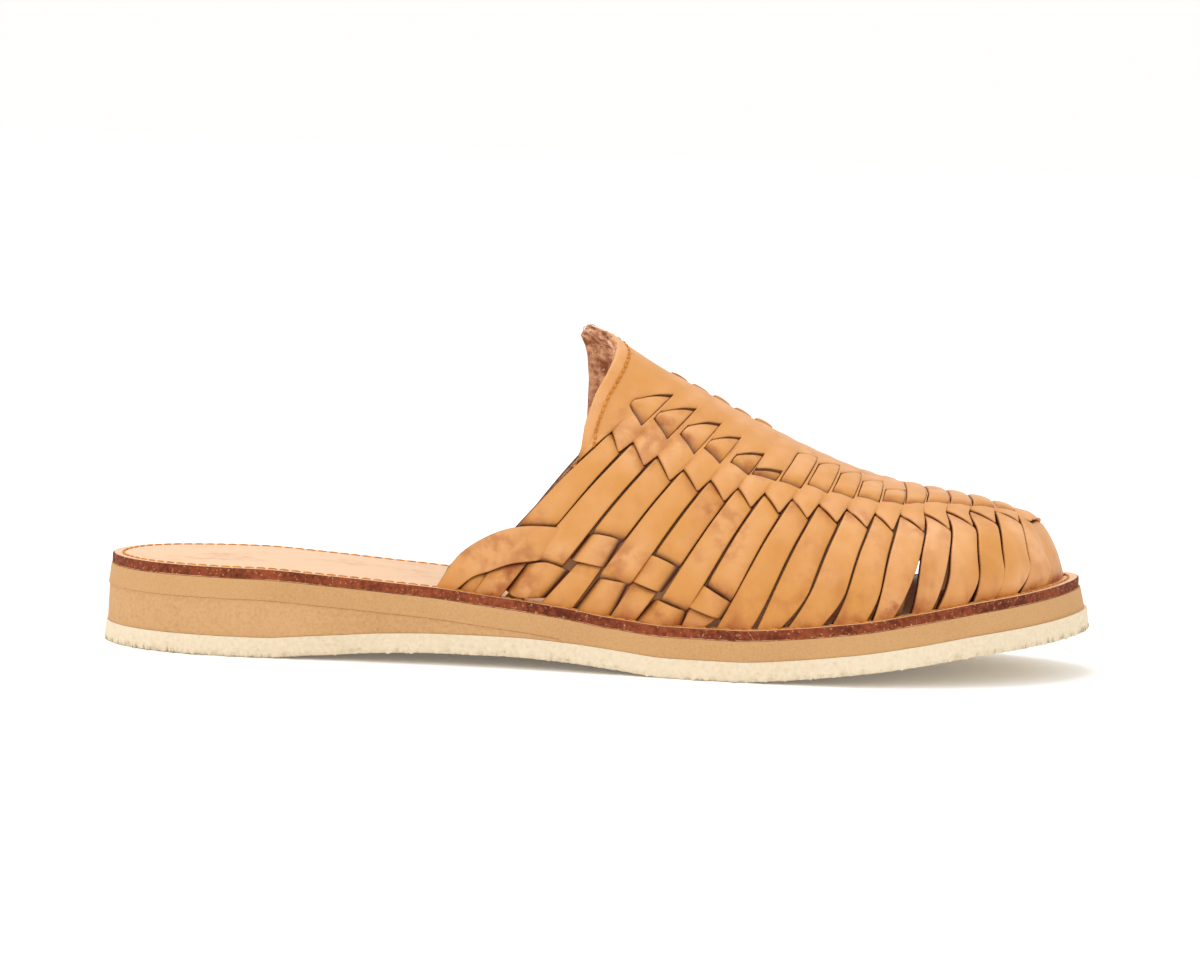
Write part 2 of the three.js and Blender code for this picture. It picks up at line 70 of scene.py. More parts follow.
# The sole's half widths, in shares of the ball's width, at shares of the length from the heel.
OUTLINE = {
    "at": (0, 0.008, 0.03, 0.07, 0.13, 0.2, 0.3, 0.4, 0.5, 0.6, 0.68, 0.74, 0.8, 0.86, 0.91, 0.955,
           0.985, 1),
    "outer": (0, 0.115, 0.213, 0.292, 0.334, 0.342, 0.344, 0.372, 0.424, 0.478, 0.504, 0.5, 0.466, 0.405,
              0.325, 0.21, 0.085, -0.07),
    "inner": (0, 0.118, 0.218, 0.292, 0.328, 0.326, 0.312, 0.314, 0.35, 0.432, 0.486, 0.498, 0.482, 0.44,
              0.384, 0.3, 0.212, 0.07),
}
# The sole's heights from the side, each a share of its own size.
PROFILE = {
    "at": (0, 0.15, 0.22, 0.28, 0.34, 0.4, 0.46, 0.5, 0.56, 0.62, 0.68, 0.74, 0.8, 0.86, 0.93, 1),
    "arch": (0, 0, 0.41, 0.81, 0.98, 1, 0.78, 0.47, 0, 0, 0, 0, 0, 0, 0, 0),
    "toe": (0, 0, 0, 0, 0, 0, 0, 0, 0, 0, 0.1, 0.25, 0.43, 0.64, 0.82, 1),
    "wedge": (0.98, 0.98, 0.75, 0.51, 0.33, 0.15, 0.04, 0, 0, 0, 0, 0, 0, 0, 0, 0),
    "thicker": (0, 0, 0, 0, 0, 0, 0, 0, 0, 0, 0, 0, 0.4, 0.6, 0.8, 1),
}
WEDGE_END = 0.455
# The crest's height over the insole and its shift to the inner side.
CREST = {
    "at": (0.44, 0.5, 0.55, 0.6, 0.65, 0.7, 0.75, 0.8, 0.85, 0.9, 0.94),
    "height": (1.07, 0.955, 0.865, 0.775, 0.678, 0.577, 0.483, 0.402, 0.34, 0.28, 0.225),
    "shift": (0.1, 0.25, 0.3, 0.36, 0.42, 0.5, 0.6, 0.7, 0.8, 0.92, 1),
}
# Where each strip line starts at the sole and where it meets the crest.
FAN = {
    "strip": (-4, -2, 1, 4, 8, 12, 15, 17, 18),
    "foot": (0.162, 0.238, 0.35, 0.463, 0.604, 0.758, 0.865, 0.927, 1),
    "crest": (0.452, 0.496, 0.563, 0.629, 0.717, 0.806, 0.873, 0.921, 0.94),
}
# The strip line of the collar's edge at each height.
COLLAR = {
    "outer_up": (0, 0.057, 0.1, 0.135, 0.165, 0.2, 0.25, 0.32, 0.39, 0.45, 0.49, 0.53, 0.58, 0.64, 0.7,
                 0.8, 0.91, 1),
    "outer": (0.55, 0.25, 0.3, 0.54, 0.85, 1.12, 1.15, 1.14, 1.08, 0.71, 0.42, 0.11, -0.16, -0.44, -0.62,
              -0.93, -1.33, -1.85),
    "inner_up": (0, 0.057, 0.1, 0.135, 0.165, 0.2, 0.25, 0.34, 0.42, 0.52, 0.645, 0.787, 0.857, 0.924,
                 1),
    "inner": (1.0, 0.9, 1.0, 1.15, 1.28, 1.38, 1.4, 1.34, 0.95, 0.16, -0.8, -1.94, -2.56, -2.52, -1.85),
}
# Where each strip ends under the vamp's lower edge, with the strip line of its tip.
STRIP_ENDS = {
    "strip": tuple(range(1, 18)),
    "apex": (1.07, 1.93, 2.95, 4, 5, 6, 6.92, 7.9, 8.88, 9.88, 10.92, 11.88, 13, 14, 15, 15.93, 16.95),
    "outer_left": (0.535, 0.528, 0.514, 0.505, 0.508, 0.518, 0.537, 0.552, 0.569, 0.582, 0.594, 0.617,
                   0.655, 0.7, 0.75, 0.805, 0.82),
    "outer_right": (0.476, 0.463, 0.448, 0.448, 0.446, 0.457, 0.467, 0.478, 0.49, 0.49, 0.491, 0.501,
                    0.524, 0.564, 0.617, 0.68, 0.7),
    "inner_left": (0.7, 0.69, 0.68, 0.66, 0.64, 0.62, 0.6, 0.58, 0.56, 0.54, 0.53, 0.52, 0.52, 0.54,
                   0.57, 0.6, 0.63),
    "inner_right": (0.665, 0.655, 0.645, 0.625, 0.605, 0.585, 0.565, 0.545, 0.525, 0.505, 0.495, 0.485,
                    0.485, 0.5, 0.52, 0.54, 0.56),
}
# The corners of the teeth on the outer side, and the heights of those on the inner side.
TEETH = {
    "strip": tuple(range(1, 17)),
    "left": (0.79, 1.87, 3.02, 4.07, 5.18, 6.11, 7.14, 8.12, 9.1, 10.06, 11.05, 11.99, 13.0, 14.03,
             15.03, 16.07),
    "right": (1.75, 2.82, 3.96, 4.92, 6.06, 7.04, 7.99, 8.99, 9.96, 10.96, 11.95, 12.95, 13.98, 14.98,
              15.97, 16.92),
    "low_left": (0.65, 0.641, 0.626, 0.615, 0.604, 0.59, 0.609, 0.644, 0.653, 0.67, 0.68, 0.7, 0.75,
                 0.77, 0.79, 0.84),
    "low_right": (0.592, 0.583, 0.572, 0.58, 0.581, 0.605, 0.61, 0.634, 0.648, 0.664, 0.688, 0.73, 0.764,
                  0.778, 0.82, 0.85),
    "high_left": (0.68, 0.675, 0.67, 0.66, 0.645, 0.62, 0.825, 0.812, 0.81, 0.806, 0.79, 1.02, 1.05,
                  1.06, 1.07, 1.08),
    "high_mid": (0.745, 0.735, 0.73, 0.71, 0.685, 0.645, 0.852, 0.862, 0.862, 0.85, 0.82, 1.04, 1.06,
                 1.07, 1.08, 1.09),
    "high_right": (0.79, 0.777, 0.768, 0.745, 0.715, 0.665, 0.867, 0.897, 0.905, 0.884, 0.842, 1.05,
                   1.07, 1.08, 1.09, 1.1),
}
INNER_TEETH = {
    "strip": (1, 5, 6, 8, 11, 14, 16),
    "low": (0.775, 0.73, 0.72, 0.69, 0.64, 0.62, 0.67),
    "high": (0.975, 0.975, 0.94, 0.93, 0.91, 0.84, 0.82),
}
INNER_MARGINS = (0.06, 0.94)
INNER_SLANT = 0.008
INNER_STEPS = (-0.02, 0.015)
LEAF_TEETH = 6
STEPPED_TEETH = 5

# Material slots of a leather piece and of a layer of the sole.
FACE, BACK, CUT = range(3)
UNDERSIDE, WALL, TOP = range(3)


class Side(Enum):
    """A side of the shoe, with its sign along Y."""

    OUTER = -1
    INNER = 1


class Edge(Enum):
    """An edge of a leather piece."""

    LEFT = "left"
    RIGHT = "right"
    LOW = "low"
    HIGH = "high"


UPPER_END = frozenset({Edge.HIGH})
ALL_ENDS = frozenset({Edge.LOW, Edge.HIGH})
ALL_SIDES = frozenset({Edge.LEFT, Edge.RIGHT})


def smooth(low: float, high: float, value: Array) -> Array:
    """Smooth step from 0 at low to 1 at high."""
    share = np.clip((np.asarray(value, float) - low) / (high - low), 0, 1)
    return share * share * (3 - 2 * share)


def blend(first: Any, second: Any, share: Any) -> Any:
    """The value a share of the way from first to second."""
    return first + (second - first) * share


class Course:
    """A smooth curve through the rows of a table that never swings past them."""

    def __init__(self, at: Sequence[float], value: Sequence[float]) -> None:
        """Finds the slope at each row.

        Args:
            at: Places, rising.
            value: The value at each place.
        """
        self.at = np.array(at, float)
        self.value = np.array(value, float)
        secant = np.diff(self.value) / np.diff(self.at)
        self.slope = np.zeros_like(self.value)
        self.slope[0], self.slope[-1] = secant[0], secant[-1]
        before, after = secant[:-1], secant[1:]
        steady = before * after > 0
        inner = self.slope[1:-1]
        inner[steady] = 2 * before[steady] * after[steady] / (before[steady] + after[steady])

    def __call__(self, place: Any) -> Array:
        """The curve's value, held level past both ends.

        Args:
            place: One place or an array of them.

        Returns:
            The value at each place.
        """
        place = np.clip(np.asarray(place, float), self.at[0], self.at[-1])
        row = np.clip(np.searchsorted(self.at, place) - 1, 0, len(self.at) - 2)
        span = self.at[row + 1] - self.at[row]
        t = (place - self.at[row]) / span
        s = 1 - t
        ends = (1 + 2 * t) * s * s * self.value[row] + t * t * (3 - 2 * t) * self.value[row + 1]
        return ends + t * s * span * (s * self.slope[row] - t * self.slope[row + 1])

    def beyond(self, place: Array) -> Array:
        """The curve's value, straight on past both ends.

        Args:
            place: An array of places.

        Returns:
            The value at each place.
        """
        held = np.clip(place, self.at[0], self.at[-1])
        slope = np.where(place < self.at[0], self.slope[0], self.slope[-1])
        return self(held) + slope * (place - held)


def share_of_turn(turn: Array) -> Array:
    """Share of the sole's length at a turn from the heel (0) to the toe (1)."""
    return (1 - np.cos(np.pi * turn)) / 2


def turn_of_share(share: Array) -> Array:
    """The turn at a share of the sole's length."""
    return np.arccos(1 - 2 * np.clip(share, 0, 1)) / np.pi


BREADTH = {
    side: Course(turn_of_share(np.array(OUTLINE["at"])), OUTLINE[side.name.lower()]) for side in Side
}


@dataclass(frozen=True)
class SoleForm:
    """The sole's outline and the heights of its layers, in millimetres from the back of the heel."""

    length: float = 260.0
    ball_width: float = 93.0
    outsole: float = 5.1
    midsole: float = 4.9
    insole: float = 2.4
    wedge: float = 9.5
    arch_lift: float = 2.95
    toe_spring: float = 11.8
    toe_thickening: float = 0.5
    side_lean: float = 1.4
    toe_lean: float = 3.4
    glue: float = 0.3

    def outline(self, turn: Array, side: Side) -> Array:
        """Points of the outline at each turn."""
        x = self.length * share_of_turn(turn)
        return np.stack([x, side.value * self.ball_width * BREADTH[side](turn)], -1)

    def inset(self, turn: Array, side: Side, side_inset: Array, toe_inset: Array) -> Array:
        """Points of the outline moved inwards.

        Args:
            turn: Places from the heel to the toe.
            side: The side of the shoe.
            side_inset: Inset along the sides.
            toe_inset: Inset at the toe.

        Returns:
            Points as an array of x and y.
        """
        step = 1e-4
        at = np.clip(turn, 0, 1)
        run = self.outline(np.minimum(at + step, 1), side) - self.outline(np.maximum(at - step, 0), side)
        run /= np.linalg.norm(run, axis=-1, keepdims=True)
        inwards = side.value * np.stack([run[..., 1], -run[..., 0]], -1)
        depth = blend(side_inset, toe_inset, smooth(0.8, 1, share_of_turn(at)))
        return self.outline(at, side) + inwards * depth[..., None]

    def column(self, name: str, x: Array) -> Array:
        """A column of the profile table at each x."""
        return Course(PROFILE["at"], PROFILE[name])(x / self.length)

    def underside(self, x: Array) -> Array:
        """Height of the outsole's underside."""
        return self.arch_lift * self.column("arch", x) + self.toe_spring * self.column("toe", x)

    def outsole_top(self, x: Array) -> Array:
        """Height of the outsole's top."""
        return self.underside(x) + self.outsole + self.toe_thickening * self.column("thicker", x)

    def wedge_top(self, x: Array) -> Array:
        """Height of the heel wedge's top."""
        return self.outsole_top(x) + self.glue + self.wedge * self.column("wedge", x)

    def midsole_bottom(self, x: Array) -> Array:
        """Height of the midsole's underside."""
        thin_end = self.column("wedge", np.full_like(x, WEDGE_END * self.length))
        return self.wedge_top(x) + self.glue * np.minimum(1, self.column("wedge", x) / thin_end)

    def midsole_top(self, x: Array) -> Array:
        """Height of the midsole's top."""
        return self.midsole_bottom(x) + self.midsole + self.toe_thickening * self.column("thicker", x)

    def insole_top(self, x: Array) -> Array:
        """Height of the insole's top."""
        return self.midsole_top(x) + self.glue + self.insole


@dataclass(frozen=True)
class Last:
    """The form that the upper is woven on, charted by strip line and by height round the foot.

    A height of 0 is at the outer side of the sole, 1 on the crest and 2 at the inner side of the sole.
    """

    sole: SoleForm
    instep_height: float = 71.5
    crest_offset: float = 6.5
    strip_margin: float = 4.0
    toe_margin: float = 5.0
    side_bulge: float = 1.2
    inner_advance: float = 9.0
    rise: float = 0.57
    flat: float = 0.65
    lean_low: float = 0.5
    lean_high: float = 0.04
    bow: float = 0.22
    toe_bow: float = 0.26
    toe_bow_strips: tuple[float, float, float, float] = (12.2, 13.2, 15.0, 16.2)
    toe_bow_height: float = 0.68
    toe_bow_spread: float = 0.1
    straight_at_tip: float = 0.8

    def crest_height(self, x: Array) -> Array:
        """Height of the crest line."""
        rise = Course(CREST["at"], CREST["height"])(x / self.sole.length)
        return self.sole.insole_top(x) + self.instep_height * rise

    def foot_turn(self, share: Array) -> Array:
        """The turn at which the strips' footline reaches a share of the sole's length.

        Args:
            share: Shares of the length from the heel.

        Returns:
            The turn for each share.
        """
        turns = np.linspace(0, 1, 4001)
        side_inset, toe_inset = self.insets()
        reach = self.sole.inset(turns, Side.OUTER, side_inset, toe_inset)[:, 0]
        reach = np.maximum.accumulate(reach)
        wanted = np.where(share >= 1, reach[-1], share * self.sole.length)
        return np.interp(wanted, reach, turns)

    def insets(self) -> tuple[float, float]:
        """Insets of the strips' footline along the sides and at the toe."""
        return self.sole.side_lean + self.strip_margin, self.sole.toe_lean + self.toe_margin

    def controls(self, strip: Array, side: Side) -> list[Array]:
        """The control points of the strip lines' curves up one side.

        Args:
            strip: Strip lines.
            side: The side of the shoe.

        Returns:
            Four arrays of points, from the foot to the crest.
        """
        side_inset, toe_inset = self.insets()
        length = self.sole.length
        share = Course(FAN["strip"], FAN["foot"])(strip)
        if side is Side.INNER:
            share = share + self.inner_advance * np.minimum(1, 1 - strip / TIP) / length
        turn = self.foot_turn(share)
        foot = self.sole.inset(turn, side, side_inset, toe_inset)
        crest_x = length * Course(FAN["strip"], FAN["crest"])(strip)
        crest_y = self.crest_offset * Course(CREST["at"], CREST["shift"])(crest_x / length)
        crest_z = self.crest_height(crest_x)
        run = crest_x - foot[:, 0]
        leaning = turn_of_share(share_of_turn(turn) + self.lean_low * run / length)
        bulged = self.sole.inset(leaning, side, side_inset - self.side_bulge, toe_inset - self.side_bulge)
        slope = self.crest_height(crest_x + 0.5) - self.crest_height(crest_x - 0.5)
        foot_z = self.sole.insole_top(foot[:, 0]) + self.sole.glue
        return [
            np.stack([foot[:, 0], foot[:, 1], foot_z], -1),
            np.stack([bulged[:, 0], bulged[:, 1], foot_z + self.rise * (crest_z - foot_z)], -1),
            np.stack([
                crest_x - self.lean_high * run,
                blend(crest_y, foot[:, 1], self.flat),
                crest_z - slope * self.lean_high * run,
            ], -1),
            np.stack([crest_x, crest_y, crest_z], -1),
        ]

    def on_side(self, strip: Array, up: Array, side: Side) -> Array:
        """Points on one side's curves.

        Args:
            strip: Strip lines.
            up: Heights from 0 at the sole to 1 on the crest.
            side: The side of the shoe.

        Returns:
            One point for each pair.
        """
        a, b, c, d = self.controls(strip, side)
        t = up[:, None]
        s = 1 - t
        return a * s**3 + 3 * b * t * s * s + 3 * c * t * t * s + d * t**3

    def points(self, strip: Array, up: Array) -> Array:
        """Points of the last, in millimetres from the back of the heel.

        Args:
            strip: Strip lines. Past the tip of the toe they run back along the other side.
            up: Heights round the foot, from 0 to 2.

        Returns:
            One point for each pair, as an array with x, y and z.
        """
        strip, up = np.broadcast_arrays(np.asarray(strip, float), np.asarray(up, float))
        shape = strip.shape
        strip, up = strip.ravel().copy(), up.ravel().copy()
        height = np.minimum(up, 2 - up)
        leaning = self.bow * smooth(0, 0.4, height)
        from_strip, full_strip, till_strip, last_strip = self.toe_bow_strips
        near_toe = smooth(from_strip, full_strip, strip) * (1 - smooth(till_strip, last_strip, strip))
        beside = (height - self.toe_bow_height) / self.toe_bow_spread
        leaning = leaning + self.toe_bow * near_toe * np.exp(-(beside ** 2))
        strip = strip - leaning * np.clip((TIP - strip) / self.straight_at_tip, 0, 1)
        past = strip > TIP
        strip[past] = 2 * TIP - strip[past]
        up[past] = 2 - up[past]
        outer = self.on_side(strip, np.where(up <= 1, up, 2 - up), Side.OUTER)
        inner = self.on_side(strip, np.where(up <= 1, up, 2 - up), Side.INNER)
        share = np.where(up <= 1, 0.0, 1.0)
        closing = 0.5 * smooth(TIP - 0.5, TIP, strip)
        share = blend(share, 1 - share, closing)[:, None]
        return (outer * (1 - share) + inner * share).reshape(*shape, 3)

    def normals(self, strip: Array, up: Array) -> Array:
        """Outward directions of the last.

        Args:
            strip: Strip lines.
            up: Heights round the foot.

        Returns:
            A unit vector for each pair.
        """
        along = self.points(strip + 0.04, up) - self.points(strip - 0.04, up)
        around = self.points(strip, up + 0.01) - self.points(strip, up - 0.01)
        found = np.cross(along, around)
        return found / np.linalg.norm(found, axis=-1, keepdims=True)

    def distance(self, first: tuple[float, float], second: tuple[float, float]) -> float:
        """Length over the last between two places.

        Args:
            first: Strip line and height of one place.
            second: Strip line and height of the other.

        Returns:
            The length in millimetres.
        """
        share = np.linspace(0, 1, 12)
        path = self.points(blend(first[0], second[0], share), blend(first[1], second[1], share))
        return float(np.linalg.norm(np.diff(path, axis=0), axis=1).sum())


def teeth_rows(side: Side) -> dict[str, Array]:
    """The teeth of the weave on one side.

    Args:
        side: The side of the shoe.

    Returns:
        A column for the strip of each tooth and for each of its corners.
    """
    outer = {name: np.array(column, float) for name, column in TEETH.items()}
    if side is Side.OUTER:
        return outer
    strips = outer["strip"]
    low = Course(INNER_TEETH["strip"], INNER_TEETH["low"])(strips)
    high = Course(INNER_TEETH["strip"], INNER_TEETH["high"])(strips)
    step = np.where(strips <= STEPPED_TEETH, *INNER_STEPS)
    return {
        "strip": strips,
        "left": strips + INNER_MARGINS[0],
        "right": strips + INNER_MARGINS[1],
        "low_left": low + INNER_SLANT,
        "low_right": low - INNER_SLANT,
        "high_left": high - step,
        "high_mid": high,
        "high_right": high + step,
    }


class Chart:
    """Where the weave changes on one side of the upper: collar, strip ends and teeth."""

    def __init__(self, side: Side) -> None:
        """Reads one side's rows of the tables.

        Args:
            side: The side of the shoe.
        """
        key = side.name.lower()
        self.side = side
        self.collar = Course(COLLAR[f"{key}_up"], COLLAR[key])
        self.end_left = Course(STRIP_ENDS["strip"], STRIP_ENDS[f"{key}_left"])
        self.end_right = Course(STRIP_ENDS["strip"], STRIP_ENDS[f"{key}_right"])
        self.teeth = teeth_rows(side)
        self.apex = STRIP_ENDS["apex"]

    def vamp_edge(self, strip: Array) -> Array:
        """Height of the vamp's toothed lower edge.

        Args:
            strip: Strip lines.

        Returns:
            The height at each strip line.
        """
        at, height = [-9.0, 1.0], [COLLAR_END, COLLAR_END]
        for number, apex in zip(range(1, LAST_STRIP + 1), self.apex):
            following = self.apex[number] if number < LAST_STRIP else TIP_PIECE_START
            right = float(self.end_right(number))
            at += [apex, following - NOTCH_START, following - NOTCH_STOP]
            height += [float(self.end_left(number)), right, right + 0.003]
        at += [TIP_PIECE_START, TIP + 1]
        height += [TIP_EDGE, 0.77]
        return np.interp(strip, at, height)

    def window(self, strip: Array) -> tuple[Array, Array, Array]:
        """The windows that the teeth fill.

        Args:
            strip: Strip lines.

        Returns:
            Height of the low slit and of the high slit, and 1 where a tooth fills the window between them.
        """
        rows = self.teeth
        at = np.stack([rows["left"], blend(rows["left"], rows["right"], 0.5), rows["right"]], -1).ravel()
        low_mid = blend(rows["low_left"], rows["low_right"], 0.5)
        low = np.stack([rows["low_left"], low_mid, rows["low_right"]], -1).ravel()
        high = np.stack([rows["high_left"], rows["high_mid"], rows["high_right"]], -1).ravel()
        inside = np.zeros_like(np.asarray(strip, float))
        for left, right in zip(rows["left"], rows["right"]):
            inside = np.maximum(inside, ((strip > left) & (strip < right)).astype(float))
        return np.interp(strip, at, low), np.interp(strip, at, high), inside


@dataclass
class Sheet:
    """A piece of leather on the last: its places, the height of its face, its painted shade, how worn and
    brown it is and how pale it is with painted highlights.
    """

    strip: Array
    up: Array
    lift: Array
    shade: Array
    wear: Array
    pale: Array
    thick: float = 1.2
    rim_shade: float = 0.9
    collar_slot: int = CUT

    def mirrored(self) -> "Sheet":
        """The same piece on the inner side.

        Returns:
            A sheet with its columns' rows turned round, so that its face still points outwards.
        """
        grids = (self.strip, 2 - self.up, self.lift, self.shade, self.wear, self.pale)
        turned = [grid[:, ::-1] for grid in grids]
        return Sheet(*turned, thick=self.thick, rim_shade=self.rim_shade, collar_slot=self.collar_slot)


class LeatherMesh:
    """Joins sheets of leather to one object with face, back and cut edges."""

    def __init__(self, name: str, last: Last, origin: Array) -> None:
        """Starts an empty object.

        Args:
            name: The object's name.
            last: The form under the leather.
            origin: The frame's origin in sole coordinates.
        """
        self.name = name
        self.last = last
        self.origin = origin
        self.corners: list[Array] = []
        self.faces: list[Array] = []
        self.slots: list[Array] = []
        self.tones: list[Array] = []
        self.count = 0

    def add(self, sheet: Sheet, keep: Array | None = None) -> None:
        """Adds one sheet.

        Args:
            sheet: The piece of leather.
            keep: Cells to keep, or None for all. A sheet with cells left out has a rim at the collar only.
        """
        point = self.last.points(sheet.strip, sheet.up)
        normal = self.last.normals(sheet.strip, sheet.up)
        face = point + normal * sheet.lift[..., None]
        back = point + normal * (sheet.lift - sheet.thick)[..., None]
        columns, rows = sheet.strip.shape
        top = self.count + np.arange(columns * rows).reshape(columns, rows)
        under = top + columns * rows
        self.corners += [face.reshape(-1, 3), back.reshape(-1, 3)]
        tone = np.stack([sheet.shade, sheet.wear, sheet.pale], -1).reshape(-1, 3)
        self.tones += [tone, np.tile([sheet.rim_shade, 0.0, 0.0], (columns * rows, 1))]
        self.count += 2 * columns * rows
        cells = np.stack([top[:-1, :-1], top[1:, :-1], top[1:, 1:], top[:-1, 1:]], -1).reshape(-1, 4)
        backs = cells[:, ::-1] + columns * rows
        rims = ((top[0, ::-1], under[0, ::-1], sheet.collar_slot), (top[-1, :], under[-1, :], CUT),
                (top[:, 0], under[:, 0], CUT), (top[::-1, -1], under[::-1, -1], CUT))
        if keep is not None:
            cells, backs, rims = cells[keep.ravel()], backs[keep.ravel()], rims[:1]
        self.put(cells, FACE)
        self.put(backs, BACK)
        for ring, low, slot in rims:
            self.put(np.stack([ring[:-1], low[:-1], low[1:], ring[1:]], -1), slot)

    def put(self, faces: Array, slot: int) -> None:
        """Keeps faces with their material slot."""
        self.faces.append(faces)
        self.slots.append(np.full(len(faces), slot))

    def build(self, materials: Sequence[bpy.types.Material]) -> bpy.types.Object:
        """Makes the object.

        Args:
            materials: Those of the face, the back and the cut edges.

        Returns:
            The object, with its tones in an attribute.
        """
        corners = (np.concatenate(self.corners) - self.origin) * MM
        faces = np.concatenate(self.faces)
        mesh = bpy.data.meshes.new(self.name)
        mesh.from_pydata(corners.tolist(), [], faces.tolist())
        mesh.polygons.foreach_set("material_index", np.concatenate(self.slots).astype(np.int32))
        mesh.polygons.foreach_set("use_smooth", np.ones(len(faces), bool))
        tone = mesh.color_attributes.new("tone", "FLOAT_COLOR", "POINT")
        shades = np.concatenate(self.tones)
        tone.data.foreach_set("color", np.concatenate([shades, np.ones((len(shades), 1))], 1).ravel())
        for material in materials:
            mesh.materials.append(material)
        mesh.update()
        made = bpy.data.objects.new(self.name, mesh)
        bpy.context.scene.collection.objects.link(made)
        return made


@dataclass(frozen=True)
class Ruler:
    """Places across a piece, closer together at its edges, with the fall of its face there."""

    size: float
    cell: float
    tucked: tuple[bool, bool]
    gap: tuple[float, float]
    under: float = 2.6
    tuck_drop: float = 0.15
    tuck_slope: tuple[float, float] = (-1.2, 2.2)
    tuck_shadow: tuple[float, float] = (-0.2, 0.9)
    edge_shadow: float = 0.3

    def places(self) -> Array:
        """Where the rows of the piece lie.

        Returns:
            Distances from the piece's first edge line.
        """
        first = -self.under if self.tucked[0] else self.gap[0]
        last = self.size + (self.under if self.tucked[1] else -self.gap[1])
        near = np.array(EDGE_PLACES)
        count = max(1, int((last - first - 2 * near[-1]) / self.cell))
        middle = np.linspace(first + near[-1], last - near[-1], count + 1)[1:-1]
        return np.concatenate([first + near, middle, last - near[::-1]])

    def fall(self, places: Array, over: float) -> Array:
        """How far the face drops.

        Args:
            places: Distances from the piece's first edge line.
            over: Height of the face over the last.

        Returns:
            The drop at each place.
        """
        total = np.zeros_like(places)
        for end, tucked, gap in zip((0, 1), self.tucked, self.gap):
            inside = places if end == 0 else self.size - places
            if tucked:
                total += (over + self.tuck_drop) * (1 - smooth(*self.tuck_slope, inside))
            else:
                total += np.interp(inside - gap, EDGE_PLACES, EDGE_FALLS)
        return total

    def shade(self, places: Array) -> Array:
        """How dark the face is beside its edges.

        Args:
            places: Distances from the piece's first edge line.

        Returns:
            The darkness at each place, up to 1.
        """
        total = np.zeros_like(places)
        for end, tucked, gap in zip((0, 1), self.tucked, self.gap):
            inside = places if end == 0 else self.size - places
            if tucked:
                total = np.maximum(total, 1 - smooth(*self.tuck_shadow, inside))
            else:
                total = np.maximum(total, 0.6 * (1 - smooth(0, self.edge_shadow, inside - gap)))
        return total


